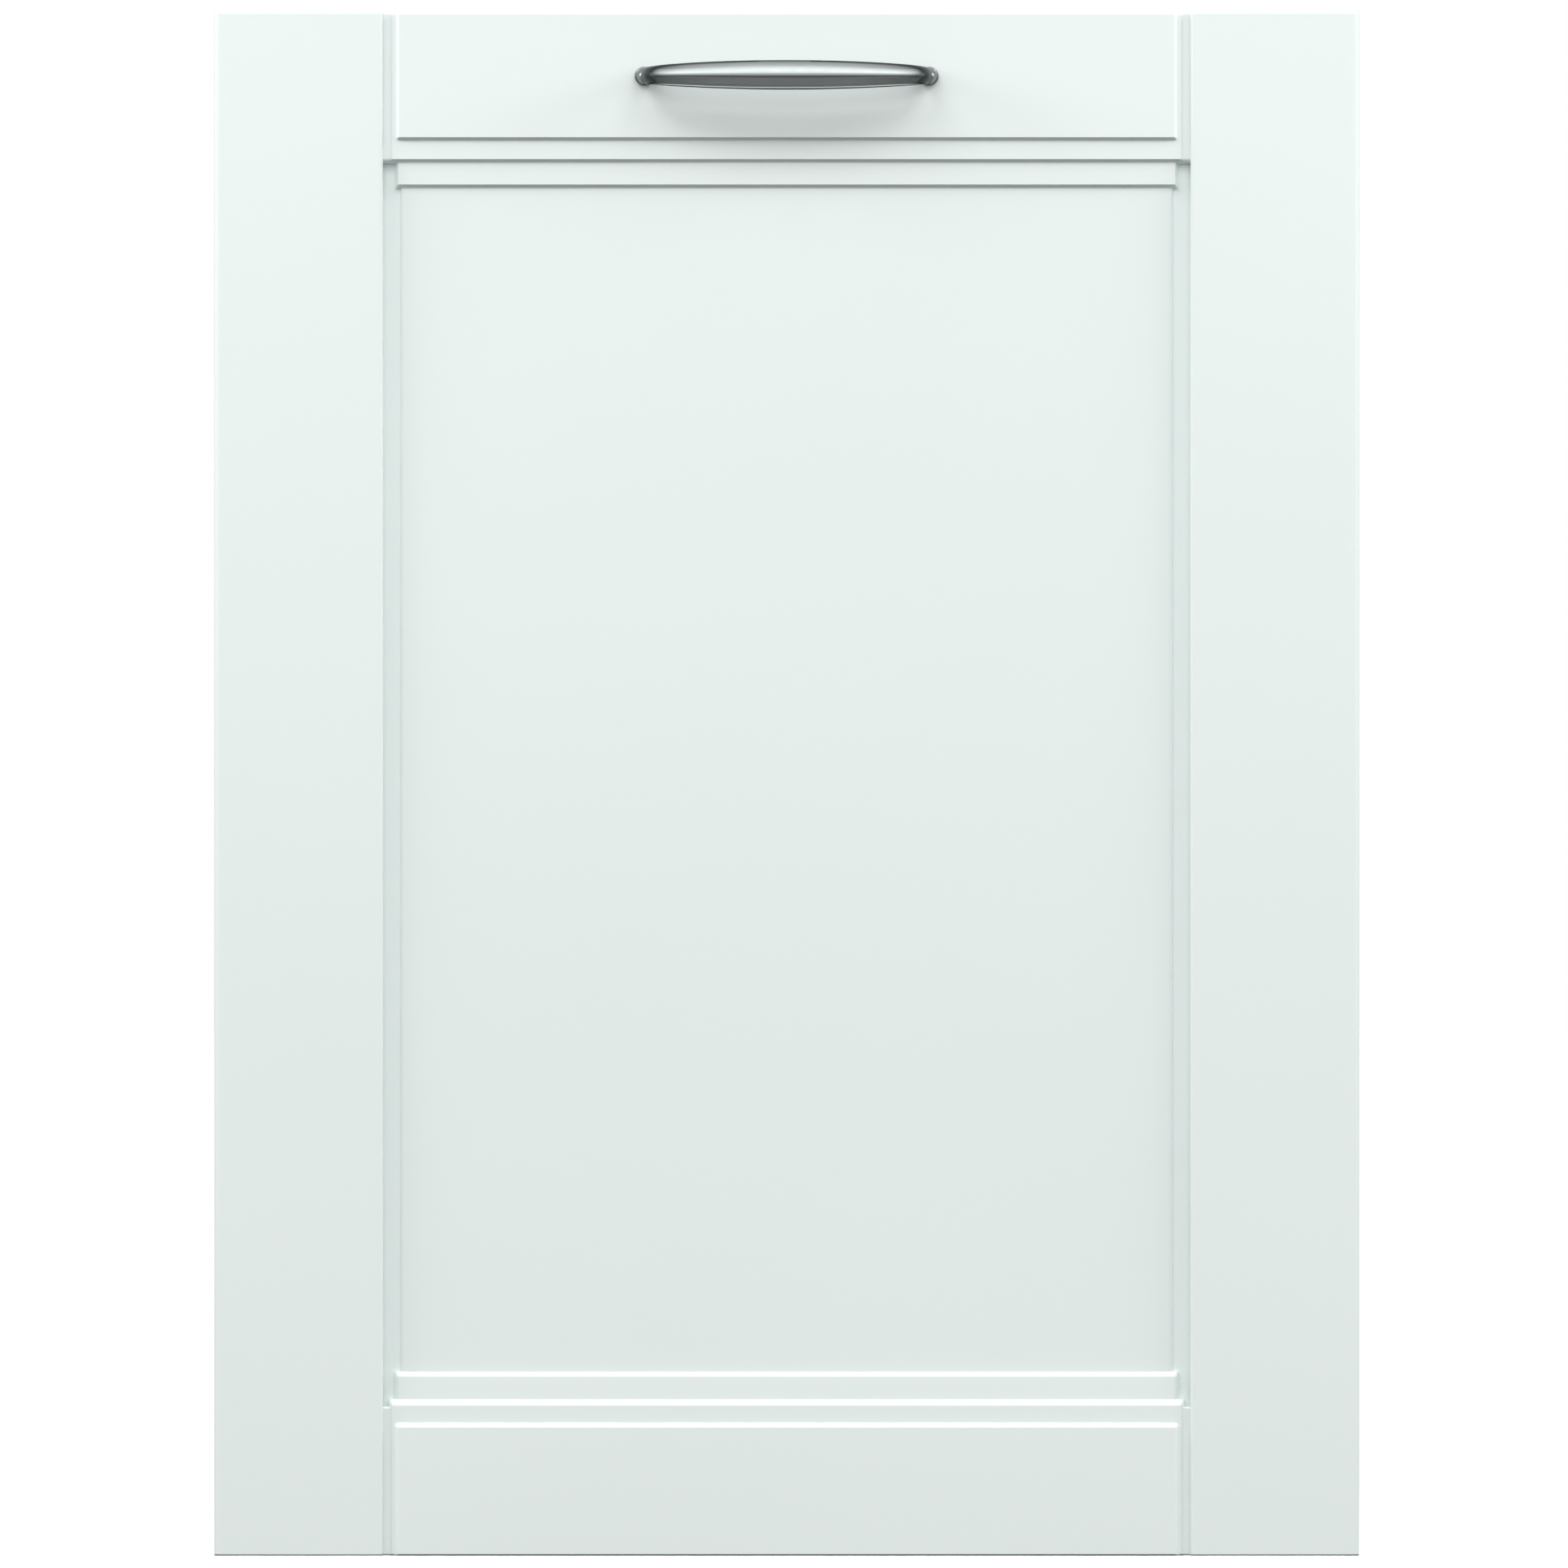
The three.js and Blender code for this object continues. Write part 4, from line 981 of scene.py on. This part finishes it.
def feet():
    """Levelling feet: a round sole, a hexagon and a threaded stem."""
    sole = scaled(((0, 0), (19.2, 0), (20, 0.8), (20, 3.2), (18.6, 4.4), (10, 8.4), (8.8, 9), (0, 9)))
    for end in ("front", "rear"):
        for name in SIDES:
            node = f"foot_{end}_{name}"
            x0, x1, y0, y1, z0, z1 = bounds_of(node)
            x, y = (x0 + x1) / 2, (y0 + y1) / 2
            form = Form().turned(sole, (x, y, z0), "z", 64)
            nut = 8.6 * MM
            form.rings([[(x + nut * c, y + nut * s, z) for c, s in circle(6)]
                        for z in (z0 + 8.8 * MM, z0 + 16 * MM)])
            thread = [(0, 15 * MM)]
            for z in (15.4 * MM + i * 1.45 * MM for i in range(22)):
                thread += [(5.3 * MM, z), (6.0 * MM, z + 0.7 * MM)]
            thread += [(5.3 * MM, z1 - z0), (0, z1 - z0)]
            form.turned(thread, (x, y, z0), "z", 32)
            stand_for(form, node, f"levelling_{end}_{name}", crease=45)


def circulation_pump():
    """A motor body with cooling ribs, a moulded volute and an outlet."""
    motor = [(0, -40), (42, -40), (42, 4)]
    for at in (6 + i * 5.6 for i in range(10)):
        motor += [(42, at), (42, at + 2.2), (38.5, at + 2.8), (38.5, at + 5.2)]
    motor += [(42, 63), (42, 67), (39, 70), (14, 70), (13, 68.5), (0, 68.5)]
    volute = ((0, -78), (44, -78), (48.5, -75.5), (50, -71), (50, -45), (48, -40), (44, -38), (0, -38))
    outlet = ((0, 0), (11.6, 0), (11.6, 26), (12, 27), (12, 34), (11, 36), (0, 36))
    form = Form()
    form.turned(scaled(motor), (0, 0.105, 0.078), "x", 56)
    form.turned(scaled(volute), (0, 0.105, 0.082), "x", 64)
    form.turned(scaled(outlet), (-0.058, 0.085, 0.104), "z", 40)
    stand_for(form, "circulation_pump", "circulation_pump_body", crease=35)


# ---------- CAD nodes kept as they are
THIN_NODES = {"door_outer_skin", "door_inner_liner", "top_cover", "display_window", "dispenser_lid"}
OWN_MATERIAL = {"flat_filter": PERFORATED, "heat_exchanger": TRANSLUCENT}


def dress_cad_nodes():
    """Every CAD node gets its material, welded vertices and softened edges."""
    for name, node in frame["nodes"].items():
        node.data.materials.clear()
        node.data.materials.append(OWN_MATERIAL.get(name, MATERIALS[NODE_SLOT[name]]))
        weld = node.modifiers.new("weld", "WELD")
        weld.merge_threshold = 0.01 * MM
        edges = node.modifiers.new("edges", "BEVEL")
        edges.width = (0.4 if name in THIN_NODES else 0.8) * MM
        edges.segments = 2
        edges.limit_method = "ANGLE"
        edges.angle_limit = math.radians(40)
        node.modifiers.new("normals", "WEIGHTED_NORMAL").keep_sharp = False


# ---------- studio
def area_light(name, place, aim, size, power):
    data = bpy.data.lights.new(name, "AREA")
    data.shape = "RECTANGLE"
    data.size, data.size_y = size
    data.energy = power
    lamp = bpy.data.objects.new(name, data)
    lamp.location = place
    lamp.rotation_euler = (Vector(aim) - Vector(place)).to_track_quat("-Z", "Y").to_euler()
    lamp.visible_camera = False
    bpy.context.scene.collection.objects.link(lamp)
    return lamp


# How bright the dome's front half is at each height, from straight down (0) to straight up (1).
DOME = ((0.0, 0.02), (0.07, 0.10), (0.12, 0.42), (0.17, 0.10), (0.36, 0.04), (0.44, 0.12), (0.49, 0.44),
        (0.70, 0.60), (0.77, 2.0), (0.835, 2.0), (0.90, 0.35), (1.0, 0.12))


def studio_world():
    """White to the camera; for light and reflections a dome, banded in front and a plain gradient behind."""
    world = bpy.data.worlds.new("studio")
    bpy.context.scene.world = world
    world.use_nodes = True
    world.node_tree.nodes.clear()
    sky = Graph(world.node_tree)
    place = sky.node("ShaderNodeTexCoord")
    split = sky.node("ShaderNodeSeparateXYZ")
    sky.link(place.outputs["Generated"], split.inputs["Vector"])
    ramp = sky.node("ShaderNodeValToRGB")
    sky.link(sky.ranged(split.outputs["Z"], 0, 1, -1, 1), ramp.inputs["Fac"])
    elements = ramp.color_ramp.elements
    for position, value in DOME:
        elements.new(position).color = (value, value, value, 1)
    elements.remove(elements[0])
    elements.remove(elements[-1])
    side = sky.node("ShaderNodeMath", operation="ABSOLUTE")
    sky.link(split.outputs["X"], side.inputs[0])
    dimmer_sides = sky.ranged(side.outputs["Value"], 1.1, 0.75, 0.5, 0.95)
    rear = sky.ranged(split.outputs["Z"], 0.15, 0.75, -1, 1)
    halves = sky.node("ShaderNodeMix", data_type="RGBA")
    sky.link(sky.ranged(split.outputs["Y"], 0, 1, -0.1, 0.3), halves.inputs["Factor"])
    sky.link(ramp.outputs["Color"], halves.inputs["A"])
    sky.link(rear, halves.inputs["B"])
    dome = sky.node("ShaderNodeBackground")
    sky.link(halves.outputs["Result"], dome.inputs["Color"])
    sky.link(dimmer_sides, dome.inputs["Strength"])
    white = sky.node("ShaderNodeBackground")
    white.inputs["Color"].default_value = (1, 1, 1, 1)
    rays = sky.node("ShaderNodeLightPath")
    mix = sky.node("ShaderNodeMixShader")
    sky.link(rays.outputs["Is Camera Ray"], mix.inputs["Fac"])
    sky.link(dome.outputs["Background"], mix.inputs[1])
    sky.link(white.outputs["Background"], mix.inputs[2])
    sky.link(mix.outputs["Shader"], sky.node("ShaderNodeOutputWorld").inputs["Surface"])


def studio_floor():
    """A plain pale floor, just below the feet, which takes shadows but throws no light back."""
    reach = 40.0
    mesh = bpy.data.meshes.new("floor")
    corners = [(-reach, -reach, 0), (reach, -reach, 0), (reach, reach, 0), (-reach, reach, 0)]
    mesh.from_pydata(corners, [], [(0, 1, 2, 3)])
    floor = bpy.data.objects.new("floor", mesh)
    floor.location.z = cad_box[0].z - 0.5 * MM
    pale = bpy.data.materials.new("pale_floor")
    pale.use_nodes = True
    shader = pale.node_tree.nodes["Principled BSDF"]
    shader.inputs["Base Color"].default_value = (0.86, 0.87, 0.87, 1)
    shader.inputs["Roughness"].default_value = 0.6
    shader.inputs["Specular IOR Level"].default_value = 0.1
    shader.inputs["Emission Color"].default_value = (1, 1, 1, 1)
    shader.inputs["Emission Strength"].default_value = 0.34
    mesh.materials.append(pale)
    bpy.context.scene.collection.objects.link(floor)
    floor.visible_diffuse = False
    floor.visible_glossy = False


def studio_lights(handle):
    """Two keys high in front, a low fill, a light at each side, a fill behind, and one in the toe space."""
    aim = Vector((0, -0.27, 0.42))
    lift = math.radians(50)
    for name, azimuth, power in (("key_left", -33, 43), ("key_right", 31, 34)):
        turn = math.radians(azimuth)
        towards = Vector((math.sin(turn) * math.cos(lift), -math.cos(turn) * math.cos(lift), math.sin(lift)))
        key = area_light(name, aim + towards * 4.4, aim, (2.0, 1.5), power)
        key.visible_glossy = False
    area_light("front_fill", (0.2, -3.2, 1.7), (0, -0.27, 0), (2.4, 0.5), 12).visible_glossy = False
    # The side lights would blot out the handle's own shading.
    spared = bpy.data.collections.new("side_lights_spare")
    spared.objects.link(handle)
    spared.collection_objects[0].light_linking.link_state = "EXCLUDE"
    for side in (-1, 1):
        lamp = area_light(f"side_{side}", (side * 1.7, -0.62, 1.5), (side * 0.2, -0.26, 0.7), (0.5, 0.8), 15)
        lamp.light_linking.receiver_collection = spared
    area_light("back_fill", (0, 3.2, 2.4), (0, 0.2, 0.4), (3.0, 1.5), 40)
    # The photo masks the toe space to white: this light falls on the toe-kick plate alone and makes it so.
    toe = area_light("toe_space", (0, -0.235, 0.035), (0, -0.16, 0.062), (0.66, 0.03), 0.55)
    receivers = bpy.data.collections.new("toe_space_receivers")
    receivers.objects.link(frame["nodes"]["toe_kick_plate"])
    toe.light_linking.receiver_collection = receivers


PICTURE_TO_FRONT = 1.3692417  # the picture's width over the furniture front's


def camera():
    """Straight on, level with the middle of the front, from far away with a long lens."""
    x0, x1, front, _, z0, z1 = bounds_of("furniture_panel")
    away = 15.0
    sensor = 36
    data = bpy.data.cameras.new("camera")
    data.sensor_width = sensor
    data.lens = sensor * away / ((x1 - x0) * PICTURE_TO_FRONT)
    data.clip_end = 100
    data.dof.use_dof = False
    made = bpy.data.objects.new("camera", data)
    made.location = ((x0 + x1) / 2 - 1.4 * MM, front - away, (z0 + z1) / 2 - 0.9 * MM)
    made.rotation_euler = (math.pi / 2, 0, 0)
    bpy.context.scene.collection.objects.link(made)
    bpy.context.scene.camera = made


dress_cad_nodes()
furniture_front()
handle = bow_handle()
lower_rack()
folding_tines()
upper_rack()
cutlery_tray()
rack_wheels()
tub()
sound_pads()
tub_gasket()
door_liner()
spray_arm("lower_spray_arm", "lower_arm_blade")
spray_arm("upper_spray_arm", "upper_arm_blade")
buttons()
rinse_cap()
salt_cap()
feet()
circulation_pump()
studio_world()
studio_floor()
studio_lights(handle)
camera()
bpy.context.scene.view_settings.view_transform = "Standard"
